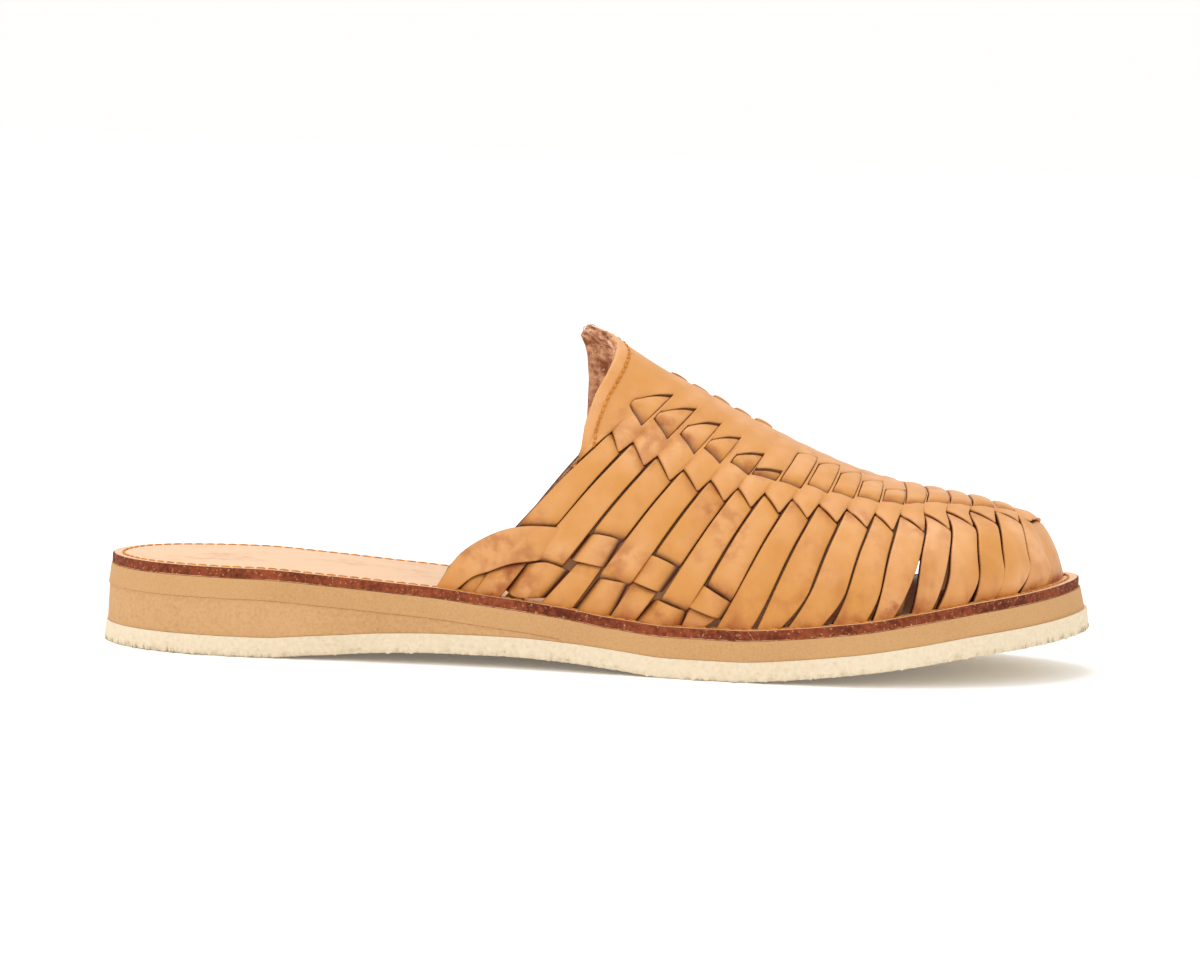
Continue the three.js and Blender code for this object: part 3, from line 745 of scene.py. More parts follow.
@dataclass
class Patch:
    """A strip or flap of leather between a lower and an upper rail, both from left to right."""

    low: Rail
    high: Rail
    tucks: frozenset[Edge] = frozenset()
    over: float = 1.4
    crown: float = 0.28
    foot_gap: tuple[float, float] = (0.0, 0.0)
    foot_reach: float = 1.0
    gap: tuple[float, float] = (0.16, 0.14)
    wear: float = 0.05
    foot_wear: float = 0.0
    pale: float = 0.25
    thick: float = 1.2
    cell: tuple[float, float] = (1.1, 1.4)
    end_gap: tuple[float, float] = (0.0, 0.1)
    waves: tuple[float, float, float] = (9.0, 4.0, 7.0)
    wave_depth: float = 0.12
    sway_wave: float = 13.0
    sway: float = 0.1
    height_range: tuple[float, float] = (-0.08, 0.08)
    tuck_darkening: float = 0.55
    tuck_reach: float = 5.0
    foot_wear_reach: float = 0.55
    wear_range: tuple[float, float] = (-0.1, 0.15)
    pale_range: tuple[float, float] = (-0.15, 0.15)
    crown_highlight: float = 0.35

    @staticmethod
    def along(rail: Rail, share: Array) -> tuple[Array, Array]:
        """Places along a rail.

        Args:
            rail: Strip line and height of each of its points.
            share: Shares of the way along it.

        Returns:
            Strip lines and heights.
        """
        at = np.linspace(0, 1, len(rail))
        lines, heights = zip(*rail)
        return Course(at, lines).beyond(share), Course(at, heights).beyond(share)

    def sheet(self, last: Last, rng: np.random.Generator) -> Sheet:
        """Lays the piece out as a grid.

        Args:
            last: The form under the piece.
            rng: Source of its small irregularities.

        Returns:
            The piece as a sheet on the outer side.
        """
        low, high = self.low, self.high
        width = 0.5 * (last.distance(low[0], low[-1]) + last.distance(high[0], high[-1]))
        length = 0.5 * (last.distance(low[0], high[0]) + last.distance(low[-1], high[-1]))
        across = Ruler(width, self.cell[0], (Edge.LEFT in self.tucks, Edge.RIGHT in self.tucks), self.gap)
        upward = Ruler(length, self.cell[1], (Edge.LOW in self.tucks, Edge.HIGH in self.tucks), self.end_gap)
        x, y = across.places(), upward.places()
        s, t = np.meshgrid(x / width, y / length, indexing="ij")
        waist = np.clip(1 - t / self.foot_reach, 0, 1) ** 1.6
        wobble = rng.uniform(-self.wave_depth, self.wave_depth, 4)
        long_wave, short_wave, right_wave = self.waves
        wave = np.sin(t * length / long_wave + rng.uniform(0, 6)) * wobble[0]
        wave = wave + np.sin(t * length / short_wave) * wobble[1] * 0.5
        left = self.foot_gap[0] / width * waist + wave / width
        wave = np.sin(t * length / right_wave + wobble[2] * 40) * wobble[3]
        right = self.foot_gap[1] / width * waist + wave / width
        s = s + left * (1 - s) - right * s
        low_strip, low_up = self.along(low, s)
        high_strip, high_up = self.along(high, s)
        strip = blend(low_strip, high_strip, t)
        up = blend(low_up, high_up, t)
        bow = self.crown * (2 * np.clip(s, 0, 1) - 1) ** 2
        sway = self.sway * np.sin(t * length / self.sway_wave + wobble[0] * 50)
        sway = sway + rng.uniform(*self.height_range)
        lift = self.over - bow + sway
        lift = lift - across.fall(x, self.over)[:, None] - upward.fall(y, self.over)[None, :]
        shade = np.maximum(across.shade(x)[:, None], upward.shade(y)[None, :])
        # Darker, browner mottling near an end that runs under another piece.
        tuck_darkening = 0
        if self.tucks & ALL_ENDS:
            tuck_darkening = self.tuck_darkening * (1 - smooth(0, self.tuck_reach, np.minimum(y, length - y)))[None, :]
        foot_wear = self.foot_wear * np.clip(1 - t / self.foot_wear_reach, 0, 1)
        wear = np.clip(self.wear + rng.uniform(*self.wear_range) + tuck_darkening + foot_wear, 0, 1)
        # Painted highlight: paler along the middle of each piece's crown, where light falls on it.
        pale_and_highlight = self.crown_highlight * (1 - bow / max(self.crown, 0.01))
        pale = np.clip(self.pale + rng.uniform(*self.pale_range) + pale_and_highlight - wear, 0, 1)
        return Sheet(strip, up, lift, shade, wear, pale, self.thick)


@dataclass
class SideWeave:
    """The strips, teeth and crossed straps of one side."""

    chart: Chart
    last: Last
    rng: np.random.Generator
    feet_left: tuple[float, ...] = (0.03, 0.08, -0.2, -0.08, -0.05, 0.0, -0.3, -0.22, -0.4, -0.42)
    feet_right: tuple[float, ...] = (0.06, 0.36, 0.36, 0.2, 0.5, 0.46, 0.42, 0.5, 0.58, 0.2)
    inner_gap: float = 0.3
    collar_advance: float = 0.24
    long_waists: tuple[int, int] = (12, 13)
    long_reach: float = 0.75
    reach: float = 0.36
    crossed_ends: tuple[tuple[float, float], ...] = (
        (0.19, 0.213), (0.114, 0.106), (0.219, 0.224), (0.1, 0.1), (0.207, 0.189), (0.075, 0.05),
        (0.146, 0.097),
    )

    def strips(self) -> list[Patch]:
        """The strips that rise from the sole to their ends under the vamp.

        Returns:
            One piece for each strip, from the collar to the toe.
        """
        made = []
        for number in range(1, LAST_STRIP + 1):
            left, right = float(number), float(number + 1 if number < LAST_STRIP else TIP_PIECE_START)
            apex = self.chart.apex[number - 1]
            tip = self.chart.apex[number] if number < LAST_STRIP else right
            end_left = float(self.chart.end_left(number))
            end_right = float(self.chart.end_right(number))
            middle = blend(end_left, end_right, 0.45)
            high = ((apex, end_left), (blend(apex, tip, 0.47), middle), (tip - 0.02, end_right))
            if number <= len(self.crossed_ends):
                low_left, low_right = self.crossed_ends[number - 1]
                low = ((left + 0.02, low_left), (right, low_right))
                if number == 1:
                    advance = self.collar_advance if self.chart.side is Side.INNER else 0.0
                    low = ((1.04 + advance, low_left), (right, low_right))
                    high = ((apex + advance, end_left), *high[1:])
                made.append(Patch(low, high, ALL_ENDS, over=1.4, wear=0.0))
                continue
            place = number - len(self.crossed_ends) - 1
            pitch = self.last.distance((left, 0.0), (left + 1, 0.0))
            gap = (self.feet_left[place] * pitch, self.feet_right[place] * pitch)
            if self.chart.side is Side.INNER:
                gap = (0.0, self.inner_gap * pitch if number < LAST_STRIP else 0.0)
            reach = self.long_reach if number in self.long_waists else self.reach
            made.append(Patch(((left, HIDDEN), (right, HIDDEN)), high, UPPER_END, over=1.45,
                              foot_gap=gap, foot_reach=reach, foot_wear=0.5 - 0.3 * smooth(11, 15, number),
                              pale=0.25 + 0.55 * smooth(8, 14, number)))
        return made

    def tip_piece(self) -> Patch:
        """The piece round the tip of the toe, between the two sides' last strips.

        Returns:
            The piece.
        """
        low, high = TIP_PIECE_START - 0.24, TIP_PIECE_START - 0.1
        return Patch(((low, HIDDEN), (TIP, HIDDEN), (2 * TIP - low, HIDDEN)),
                     ((high, TIP_EDGE), (TIP, 0.78), (2 * TIP - high, TIP_EDGE)),
                     UPPER_END | ALL_SIDES, over=0.95, foot_wear=0.6)

    def teeth(self) -> list[Patch]:
        """The short pieces of the strips that show between the vamp's ribs.

        Returns:
            One piece for each tooth, from the collar to the toe.
        """
        rows = self.chart.teeth
        made = []
        for place, number in enumerate(rows["strip"]):
            row = {name: float(column[place]) for name, column in rows.items()}
            middle = blend(row["left"], row["right"], 0.5)
            low = ((row["left"], row["low_left"]), (row["right"], row["low_right"]))
            high = ((row["left"] + 0.02, row["high_left"]), (middle, row["high_mid"]),
                    (row["right"], row["high_right"]))
            over = 1.8
            if self.chart.side is Side.OUTER and number <= LEAF_TEETH:
                over = 1.95
            if self.chart.side is Side.INNER and number <= STEPPED_TEETH:
                over = 2.2
            made.append(Patch(low, high, ALL_ENDS, over=over, crown=0.3, gap=(0.1, 0.1), wear=0.0,
                              pale=0.35))
        return made

    def straps(self) -> list[Patch]:
        """The two straps that cross the strips' feet, and the feet below them.

        Returns:
            The collar's strap, the two ends beside it, the parts of the second strap that lie over strips,
            the feet below those parts, and the second strap's last two parts.
        """
        on = 1 if self.chart.side is Side.INNER else 0
        return [
            Patch(((0.98 + 0.3 * on, HIDDEN), (1.1 + 0.2 * on, 0.035), (1.36, 0.058), (1.7, 0.087),
                   (2.38, 0.114)),
                  ((0.57 + 0.5 * on, HIDDEN), (0.26 + 0.75 * on, 0.085), (0.62 + 0.62 * on, 0.158),
                   (1.3 + 0.3 * on, 0.197), (2.3, 0.217)),
                  frozenset({Edge.RIGHT}), over=1.75, wear=0.15, gap=(0.0, 0.2)),
            Patch(((1.12, HIDDEN), (1.4, HIDDEN), (1.72, HIDDEN)),
                  ((1.04, 0.034), (1.28, 0.05), (1.5, 0.05)),
                  UPPER_END, over=1.0, wear=0.35),
            Patch(((1.5, HIDDEN), (2.21, HIDDEN)), ((1.34, 0.06), (1.68, 0.085), (2.08, 0.1)),
                  UPPER_END, over=1.5, wear=0.2, foot_wear=0.3),
            Patch(((2.23, 0.012), (2.6, 0.002), (3.13, 0.01)), ((2.12, 0.1), (2.55, 0.112), (3.12, 0.104)),
                  ALL_SIDES, over=1.65, wear=0.15),
            Patch(((3.08, 0.13), (3.98, 0.13)), ((3.05, 0.219), (3.84, 0.224)),
                  ALL_SIDES, over=1.7, wear=0.05),
            Patch(((4.97, 0.112), (5.85, 0.096)), ((4.91, 0.207), (5.87, 0.189)),
                  ALL_SIDES, over=1.7, wear=0.1),
            Patch(((6.86, 0.066), (7.95, 0.029)), ((6.9, 0.148), (7.97, 0.096)),
                  ALL_SIDES, over=1.7, wear=0.15),
            Patch(((3.19, HIDDEN), (4.1, HIDDEN)), ((3.27, 0.131), (3.6, 0.134), (3.98, 0.13)),
                  UPPER_END, over=1.45, foot_wear=0.4),
            Patch(((5.1, HIDDEN), (5.82, HIDDEN)), ((4.97, 0.114), (5.85, 0.094)),
                  UPPER_END, over=1.45, foot_wear=0.4),
            Patch(((7.13, HIDDEN), (7.64, HIDDEN)), ((6.93, 0.07), (7.93, 0.034)),
                  UPPER_END, over=1.45, foot_wear=0.45),
            Patch(((4.16, -0.01), (5.1, -0.01)), ((4.12, 0.1), (4.85, 0.105)),
                  ALL_SIDES, over=1.6, wear=0.25),
            Patch(((5.84, -0.01), (7.08, -0.02)), ((5.96, 0.076), (6.88, 0.052)),
                  ALL_SIDES, over=1.6, wear=0.3),
        ]

    def sheets(self, patches: Sequence[Patch]) -> list[Sheet]:
        """Lays out pieces on this side.

        Args:
            patches: The pieces, in the order of their random draws.

        Returns:
            One sheet for each.
        """
        laid = [patch.sheet(self.last, self.rng) for patch in patches]
        if self.chart.side is Side.OUTER:
            return laid
        return [sheet.mirrored() for sheet in laid]


@dataclass
class Vamp:
    """The slit sheet that the strips run through, from one side over the crest to the other."""

    charts: dict[Side, Chart]
    rib: float = 1.2
    bump: float = 0.3
    crest_bump: float = 0.12
    floor: float = -0.1
    hem: float = 3.2
    thick: float = 1.2
    places: tuple[float, ...] = (0.2, 0.3, 0.4, 0.5, 0.6, 0.7, 0.78)
    hem_places: tuple[float, ...] = (0, 0.12, 0.35, 0.8, 1.7, 2.7, 2.95, 3.2, 3.45, 4.2)
    spread: tuple[float, ...] = (0.12, 0.28, 0.45, 0.62, 0.76, 0.88, 0.95)
    lip: tuple[float, ...] = (0.0015, 0.005, 0.012)
    lip_fall: tuple[float, ...] = (0.4, 0.13, 0.0)
    edge_steps: tuple[float, ...] = (0, 0.0015, 0.005, 0.011)
    edge_falls: tuple[float, ...] = (0.42, 0.2, 0.06, 0)
    window_step: float = 0.012
    apex_steps: tuple[float, ...] = (-NOTCH_START, -NOTCH_STOP, -0.04, 0, 0.05, 0.12)
    tip_lines: tuple[float, ...] = (17.6, 17.7, 17.8, 17.9, TIP)
    rim_places: tuple[float, ...] = (0, 0.12, 0.35, 0.8)
    rim_falls: tuple[float, ...] = (0.45, 0.18, 0.05, 0)
    hem_lift: float = 0.28
    groove_depth: float = 0.3
    valley_depth: float = 0.5
    valley_reach: float = 0.07
    crest_span: tuple[float, float] = (0.72, 0.85)
    foot_pitch: float = 9.4
    crest_pitch: float = 5.8
    wear: float = 0.04
    pale: float = 0.3
    rib_highlight: float = 0.35
    hem_highlight: float = 0.5
    middle_height: float = 0.75
    seam_reach: tuple[float, float] = (0.47, 0.985)

    def pitch(self, around: Array) -> Array:
        """Width of a strip in millimetres at each height round the foot."""
        return blend(self.foot_pitch, self.crest_pitch, np.minimum(around, 2 - around))

    def collar(self, around: Array) -> Array:
        """Strip line of the collar edge at each height round the foot."""
        outer, inner = self.charts[Side.OUTER], self.charts[Side.INNER]
        return np.where(around <= 1, outer.collar(around), inner.collar(2 - around))

    def collar_line(self, around: Array, inwards: float, reach: float = 1.0) -> Array:
        """Strip line a distance in from the collar edge, held back where the sheet is narrower."""
        edge = self.collar(around)
        return edge + np.minimum(inwards / self.pitch(around), (1 - edge) * reach)

    def columns(self) -> Array:
        """The columns in front of the collar.

        Returns:
            Their strip lines, closer together beside teeth and strip ends.
        """
        lines = [number + place for number in range(1, LAST_STRIP + 1) for place in self.places]
        beside = (-self.window_step, self.window_step)
        for chart in self.charts.values():
            for edge in ("left", "right"):
                lines += [float(line) + step for line in chart.teeth[edge] for step in beside]
        lines += [TIP_PIECE_START - 0.01, TIP_PIECE_START + 0.01, *self.tip_lines]
        lines += [apex + step for apex in STRIP_ENDS["apex"] for step in self.apex_steps]
        return np.unique(np.round([line for line in lines if 1 <= line <= TIP], 3))

    def rows(self, line: Array) -> dict[str, Array]:
        """Heights round the foot of every row, with what each row is.

        Args:
            line: Strip line of each column.

        Returns:
            Under "around" the heights, one row of them for each column, under "fall" how far the face drops
            at slits and edges, under "shade" how dark it is there, and under "window" 1 where a tooth fills
            the sheet's window.
        """
        parts: dict[str, list[Array]] = {"around": [], "fall": [], "shade": [], "window": []}

        def put(around: Array, fall: Array, shade: Array, window: Array) -> None:
            """Adds one row."""
            for name, value in zip(parts, (around, fall, shade, window)):
                parts[name].append(value + 0 * line)

        limits = {}
        for side, chart in self.charts.items():
            low, high, inside = chart.window(line)
            edge = np.where(line < 0.99, COLLAR_END + 0.005, chart.vamp_edge(line))
            low = np.maximum(low, edge + 0.04)
            limits[side] = (edge, low, np.maximum(high, low + 0.02), inside)

        to_edge, lip, to_lip = self.edge_steps[-1], self.lip[0], self.lip[-1]
        edge, low, high, inside = limits[Side.OUTER]
        for step, fall in zip(self.edge_steps, self.edge_falls):
            put(edge + step, fall, 2 * fall, 0)
        for share in (0.25, 0.5, 0.75):
            put(blend(edge + to_edge, low - to_lip, share), 0, 0, 0)
        for step, fall in zip(self.lip[::-1], self.lip_fall[::-1]):
            put(low - step, fall * inside, 0.9 * inside * (fall > 0.2), 0)
        for share in (0.0, 0.33, 0.66, 1.0):
            put(blend(low + lip, high - lip, share), 0, 0.9 * inside, inside)
        for step, fall in zip(self.lip, self.lip_fall):
            put(high + step, fall * inside, 0.9 * inside * (fall > 0.2), 0)
        from_crest = high + to_lip
        edge, low, high, inside = limits[Side.INNER]
        edge, low, high = 2 - edge, 2 - low, 2 - high
        for share in (0.15, 0.3, 0.45, 0.6, 0.75, 0.9):
            put(blend(from_crest, high - to_lip, share), 0, 0, 0)
        for step, fall in zip(self.lip[::-1], self.lip_fall[::-1]):
            put(high - step, fall * inside, 0.9 * inside * (fall > 0.2), 0)
        for share in (0.0, 0.5, 1.0):
            put(blend(high + lip, low - lip, share), 0, 0.9 * inside, inside)
        for step, fall in zip(self.lip, self.lip_fall):
            put(low + step, fall * inside, 0.9 * inside * (fall > 0.2), 0)
        for share in (0.33, 0.66):
            put(blend(low + to_lip, edge - to_edge, share), 0, 0, 0)
        for step, fall in zip(self.edge_steps[::-1], self.edge_falls[::-1]):
            put(edge - step, fall, 2 * fall, 0)
        return {name: np.stack(values, -1) for name, values in parts.items()}

    def sheet(self) -> Sheet:
        """Lays the vamp out as one grid.

        Returns:
            The sheet, with a hem along the collar and a rib over each strip.
        """
        main = self.columns()
        hems = len(self.hem_places)
        middle = np.array(self.middle_height)
        guess = np.array([self.collar_line(middle, place, (k + 1) / (hems + 2))
                          for k, place in enumerate(self.hem_places)])
        spread = blend(guess[-1], 1.0, np.array(self.spread))
        line = np.concatenate([guess, spread, main])
        rows = self.rows(line)
        around = rows["around"]
        strip = np.repeat(line[:, None], around.shape[1], 1)
        for k, place in enumerate(self.hem_places):
            strip[k] = self.collar_line(around[k], place, (k + 1) / (hems + 2) if k else 0)
        last_hem = self.collar_line(around[hems], self.hem_places[-1], hems / (hems + 2))
        for k, share in enumerate(self.spread):
            strip[hems + k] = blend(last_hem, 1.0, share)
        over_strip = np.sin(np.pi * strip) ** 2 * (strip > 1)
        outer_side = around <= 1
        edge_outer = self.charts[Side.OUTER].vamp_edge(strip)
        edge_inner = self.charts[Side.INNER].vamp_edge(strip)
        above = np.where(outer_side, around - edge_outer, 2 - around - edge_inner)
        valley = (1 - over_strip) ** 3 * (strip > 1) * (1 - smooth(0, self.valley_reach, above))
        near_crest = smooth(*self.crest_span, np.minimum(around, 2 - around))
        bump = blend(self.bump, self.crest_bump, near_crest)
        lift = self.rib + bump * over_strip - self.valley_depth * valley - rows["fall"]
        lift = blend(lift, self.floor, rows["window"])
        inwards = (strip - self.collar(around)) * self.pitch(around)
        rim = np.interp(inwards, self.rim_places, self.rim_falls)
        band = self.hem_lift * (1 - smooth(self.hem - 0.2, self.hem + 0.5, inwards)) * (strip < 1)
        seam = self.groove_depth * np.exp(-((inwards - self.hem) / 0.3) ** 2) * (strip < 1)
        lift = lift + band - seam - rim * (strip < 1)
        shade = np.maximum(rows["shade"], 0.25 * np.exp(-((inwards - self.hem) / 0.35) ** 2) * (strip < 1))
        on_hem = (inwards < self.hem) * (strip < 1)
        # Painted highlight: paler over the raised ribs where strips run beneath and along the raised hem.
        pale = self.pale + self.rib_highlight * over_strip + self.hem_highlight * on_hem + 0 * lift
        wear = self.wear + 0 * lift
        return Sheet(strip, around, lift, shade, wear, np.clip(pale, 0, 1), self.thick, collar_slot=BACK)

    def seam(self, side: Side, inwards: float, lift: float, last: Last) -> Array:
        """A line along the collar on one side, from the strip ends up to the crest.

        Args:
            side: The side of the shoe.
            inwards: Its distance from the collar's edge.
            lift: Its height over the last.
            last: The form under the leather.

        Returns:
            The points of the line.
        """
        up = np.linspace(*self.seam_reach, 90)
        around = up if side is Side.OUTER else 2 - up
        strip = self.collar_line(around, inwards)
        return last.points(strip, around) + last.normals(strip, around) * lift


@dataclass
class Backing:
    """The thin skin behind the weave, open at the sole between the strips' feet."""

    charts: dict[Side, Chart]
    last: Last
    lift: float = -0.3
    thick: float = 1.4
    openings: dict[int, float] = field(default_factory=lambda: {
        2: 0.03, 3: 0.02, 7: 0.02, 8: 0.04, 9: 0.05, 10: 0.06, 11: 0.08, 12: 0.1,
        13: 0.32, 14: 0.1, 15: 0.09, 16: 0.08, 17: 0.07,
    })
    opening_left: float = -0.24
    opening_right: float = 0.28
    collar_columns: tuple[float, ...] = (0.0, 0.02, 0.06, 0.15, 0.3, 0.5, 0.75)
    collar_lift: float = 0.2
    collar_margin: float = 0.04
    shade: float = 0.75
    wear: float = 0.3

    def add_to(self, mesh: LeatherMesh) -> None:
        """Adds the skin of both sides.

        Args:
            mesh: The object that the skin is joined to.
        """
        beside = (self.opening_left, self.opening_right)
        edges = [number + step for number in self.openings for step in beside]
        lines = np.unique(np.concatenate([np.arange(1, 18.01, 0.1), np.array(edges)]))
        up = np.concatenate([[-0.02, 0.0], np.arange(0.01, 0.34, 0.02), np.arange(0.36, 1.001, 0.04)])
        up[-1] = 1.0
        for side, chart in self.charts.items():
            strip = np.concatenate([self.beside_collar(chart, up), np.repeat(lines[:, None], len(up), 1)])
            height = np.repeat(up[None, :], len(strip), 0)
            lift = np.full_like(strip, self.lift)
            shade = np.full_like(strip, self.shade)
            wear = np.full_like(strip, self.wear)
            shade[: len(self.collar_columns)] = 0.0
            lift[: len(self.collar_columns) - 2] = self.collar_lift
            sheet = Sheet(strip, height, lift, shade, wear, 0 * lift, self.thick, collar_slot=BACK)
            middle_line = 0.25 * (strip[:-1, :-1] + strip[1:, :-1] + strip[:-1, 1:] + strip[1:, 1:])
            middle_up = 0.5 * (height[:-1, :-1] + height[:-1, 1:])
            keep = np.ones_like(middle_line, bool)
            for number, to in self.openings.items():
                near = middle_line > number + self.opening_left
                near &= middle_line < number + self.opening_right
                keep &= ~(near & (middle_up < to))
            if side is Side.INNER:
                sheet = sheet.mirrored()
                keep = keep[:, ::-1]
            mesh.add(sheet, keep)

    def beside_collar(self, chart: Chart, up: Array) -> Array:
        """Strip lines of the columns between the collar edge and the first strip."""
        edge = chart.collar(up)[None, :] + self.collar_margin
        return blend(edge, np.maximum(edge, 1.0), np.array(self.collar_columns)[:, None])


@dataclass
class SoleLayer:
    """One layer of the sole: rounded edges, a top, a wall and an underside."""

    name: str
    form: SoleForm
    bottom: Callable[[Array], Array]
    top: Callable[[Array], Array]
    lean: tuple[float, float]
    end: float = 1.0
    low_round: float = 0.5
    high_round: float = 0.5
    stations: int = 640
    crumbs: float = 0.0
    top_rows: tuple[tuple[float, float], ...] = ()
    flat_rows: tuple[float, ...] = (13, 7, 3, 1.4)
    wall_rows: tuple[float, ...] = (0.2, 0.35, 0.5, 0.65, 0.8)
    crumb_rows: tuple[float, float] = (7.0, 2.2)
    calm_end: float = 0.02

    def section(self) -> list[tuple[float, float, float, int]]:
        """The rows round the layer, from the underside over the wall to the top.

        Returns:
            Share of the layer's height, inset, rise and material slot of each row.
        """
        corner = ((1, 0), (0.62, 0.08), (0.29, 0.29), (0.08, 0.62), (0, 1))
        rows = [(0.0, inset, 0.0, UNDERSIDE) for inset in self.flat_rows]
        rows += [(0.0, self.low_round * a, self.low_round * b, UNDERSIDE) for a, b in corner]
        rows += [(share, 0.0, 0.0, WALL) for share in self.wall_rows]
        rows += [(1.0, self.high_round * a, -self.high_round * b, WALL) for a, b in corner[::-1]]
        rows += [(1.0, inset, rise, TOP) for inset, rise in self.top_rows]
        last_inset = max([0, *(inset for inset, _ in self.top_rows)])
        rows += [(1.0, inset, 0.0, TOP) for inset in self.flat_rows[::-1] if inset > last_inset]
        return rows

    def ring(self, turn: Array, side: Side, row: tuple[float, float, float, int]) -> Array:
        """Points of one row along one side.

        Args:
            turn: Places from the heel to the toe.
            side: The side of the shoe.
            row: The row as its section gives it.

        Returns:
            One point for each place.
        """
        share, inset, rise, _ = row
        lean = blend(self.lean[0], self.lean[1], share)
        side_inset, toe_inset = lean * self.form.side_lean + inset, lean * self.form.toe_lean + inset
        flat = self.form.inset(turn, side, side_inset, toe_inset)
        x = flat[:, 0]
        z = blend(self.bottom(x), self.top(x), share) + rise
        return np.concatenate([flat, z[:, None]], 1)

    def build(self, origin: Array, rng: np.random.Generator,
              materials: Sequence[bpy.types.Material]) -> bpy.types.Object:
        """Makes the layer as one closed object.

        Args:
            origin: The frame's origin in sole coordinates.
            rng: Source of the crumbs along its lower edge.
            materials: Underside, wall and top.

        Returns:
            The object.
        """
        turn = np.linspace(0, float(turn_of_share(np.array(self.end))), self.stations)
        rows = self.section()
        grids = []
        for side in Side:
            grid = np.stack([self.ring(turn, side, row) for row in rows])
            if self.crumbs:
                grid = self.crumble(grid, side, rows, rng)
            grids.append(grid)
        outer, inner = grids
        span = np.linspace(0, 1, 12)[1:-1, None, None]
        top_fill = outer[-1] * (1 - span) + inner[-1] * span
        low_fill = outer[0] * (1 - span) + inner[0] * span
        loop = np.concatenate([outer, top_fill, inner[::-1], low_fill[::-1]])
        slots = [row[3] for row in rows]
        slots = slots + [TOP] * len(span) + slots[::-1] + [UNDERSIDE] * len(span)
        count, length = loop.shape[:2]
        number = np.arange(count * length).reshape(count, length)
        following = np.roll(number, -1, 0)
        faces = np.stack([number[:, :-1], number[:, 1:], following[:, 1:], following[:, :-1]], -1)
        slot = np.repeat(np.maximum(slots, np.roll(slots, -1)), length - 1)
        front = [list(number[:, -1])] if self.end < 1 else []
        mesh = bpy.data.meshes.new(self.name)
        corners = (loop.reshape(-1, 3) - origin) * MM
        mesh.from_pydata(corners.tolist(), [], faces.reshape(-1, 4).tolist() + front)
        slot = np.concatenate([slot, [WALL] * len(front)]).astype(np.int32)
        mesh.polygons.foreach_set("material_index", slot)
        joined = bmesh.new()
        joined.from_mesh(mesh)
        bmesh.ops.remove_doubles(joined, verts=joined.verts, dist=1e-6)
        bmesh.ops.recalc_face_normals(joined, faces=joined.faces)
        joined.to_mesh(mesh)
        joined.free()
        mesh.polygons.foreach_set("use_smooth", np.ones(len(mesh.polygons), bool))
        for material in materials:
            mesh.materials.append(material)
        made = bpy.data.objects.new(self.name, mesh)
        bpy.context.scene.collection.objects.link(made)
        return made

    def crumble(self, grid: Array, side: Side, rows: Sequence[tuple], rng: np.random.Generator) -> Array:
        """Roughens the lower edge into crumbs.

        Args:
            grid: The rows' points on one side.
            side: The side of the shoe.
            rows: The rows as the section gives them.
            rng: Source of the crumbs.

        Returns:
            The same grid, with its points moved.
        """
        count = grid.shape[1]
        rough = rng.normal(0, 1, count + 4)
        rough = np.convolve(rough, [0.25, 0.5, 0.25], "same")[2:-2]
        flakes = np.clip(rng.normal(-0.4, 1, count), 0, 0.9)
        way = np.linspace(0, 1, count)
        back = np.linspace(1, 0, count)
        calm = smooth(0, self.calm_end, way) * smooth(0, self.calm_end, back)
        outwards = np.array([0.0, side.value, 0.0])
        centre, spread = self.crumb_rows
        for place, row in enumerate(rows):
            near = math.exp(-((place - centre) / spread) ** 2) if row[3] < TOP else 0.0
            shift = self.crumbs * near * (0.6 * rough + 0.6 * flakes) * calm
            grid[place] = grid[place] + outwards * shift[:, None]
            drop = 0.4 * np.abs(np.roll(rough, 3)) - 0.5 * np.roll(flakes, 5)
            grid[place, :, 2] = np.maximum(grid[place, :, 2] + self.crumbs * near * drop * calm, 0.0)
        return grid


@dataclass(frozen=True)
class Tone:
    """A colour as it looks on screen, in 0 to 255."""

    red: float
    green: float
    blue: float

    def linear(self) -> tuple[float, float, float, float]:
        """The colour in linear light.

        Returns:
            Red, green, blue and an alpha of 1.
        """
        parts = [((c / 255 + 0.055) / 1.055) ** 2.4 if c > 10 else c / 255 / 12.92
                 for c in (self.red, self.green, self.blue)]
        return (*parts, 1.0)


class Wire:
    """A shader socket that can be used in arithmetic."""

    def __init__(self, graph: "Graph", socket: bpy.types.NodeSocket) -> None:
        """Wraps a socket of a graph's node."""
        self.graph = graph
        self.socket = socket

    def math(self, operation: str, *values: Any) -> "Wire":
        """One Math node on these values."""
        return self.graph.node("ShaderNodeMath", {"operation": operation}, dict(enumerate(values)))

    def __add__(self, other: Any) -> "Wire":
        """The sum."""
        return self.math("ADD", self, other)

    def __mul__(self, other: Any) -> "Wire":
        """The product."""
        return self.math("MULTIPLY", self, other)

    def __pow__(self, other: Any) -> "Wire":
        """The power."""
        return self.math("POWER", self, other)

    def between(self, low: float, high: float) -> "Wire":
        """0 below low, 1 above high and smooth between."""
        return self.graph.node("ShaderNodeMapRange", {"interpolation_type": "SMOOTHSTEP"},
                               {0: self, 1: low, 2: high})

    def blend(self, first: Any, second: Any) -> "Wire":
        """The colour this share of the way from first to second."""
        return self.graph.node("ShaderNodeMix", {"data_type": "RGBA"}, {0: self, 6: first, 7: second}, 2)


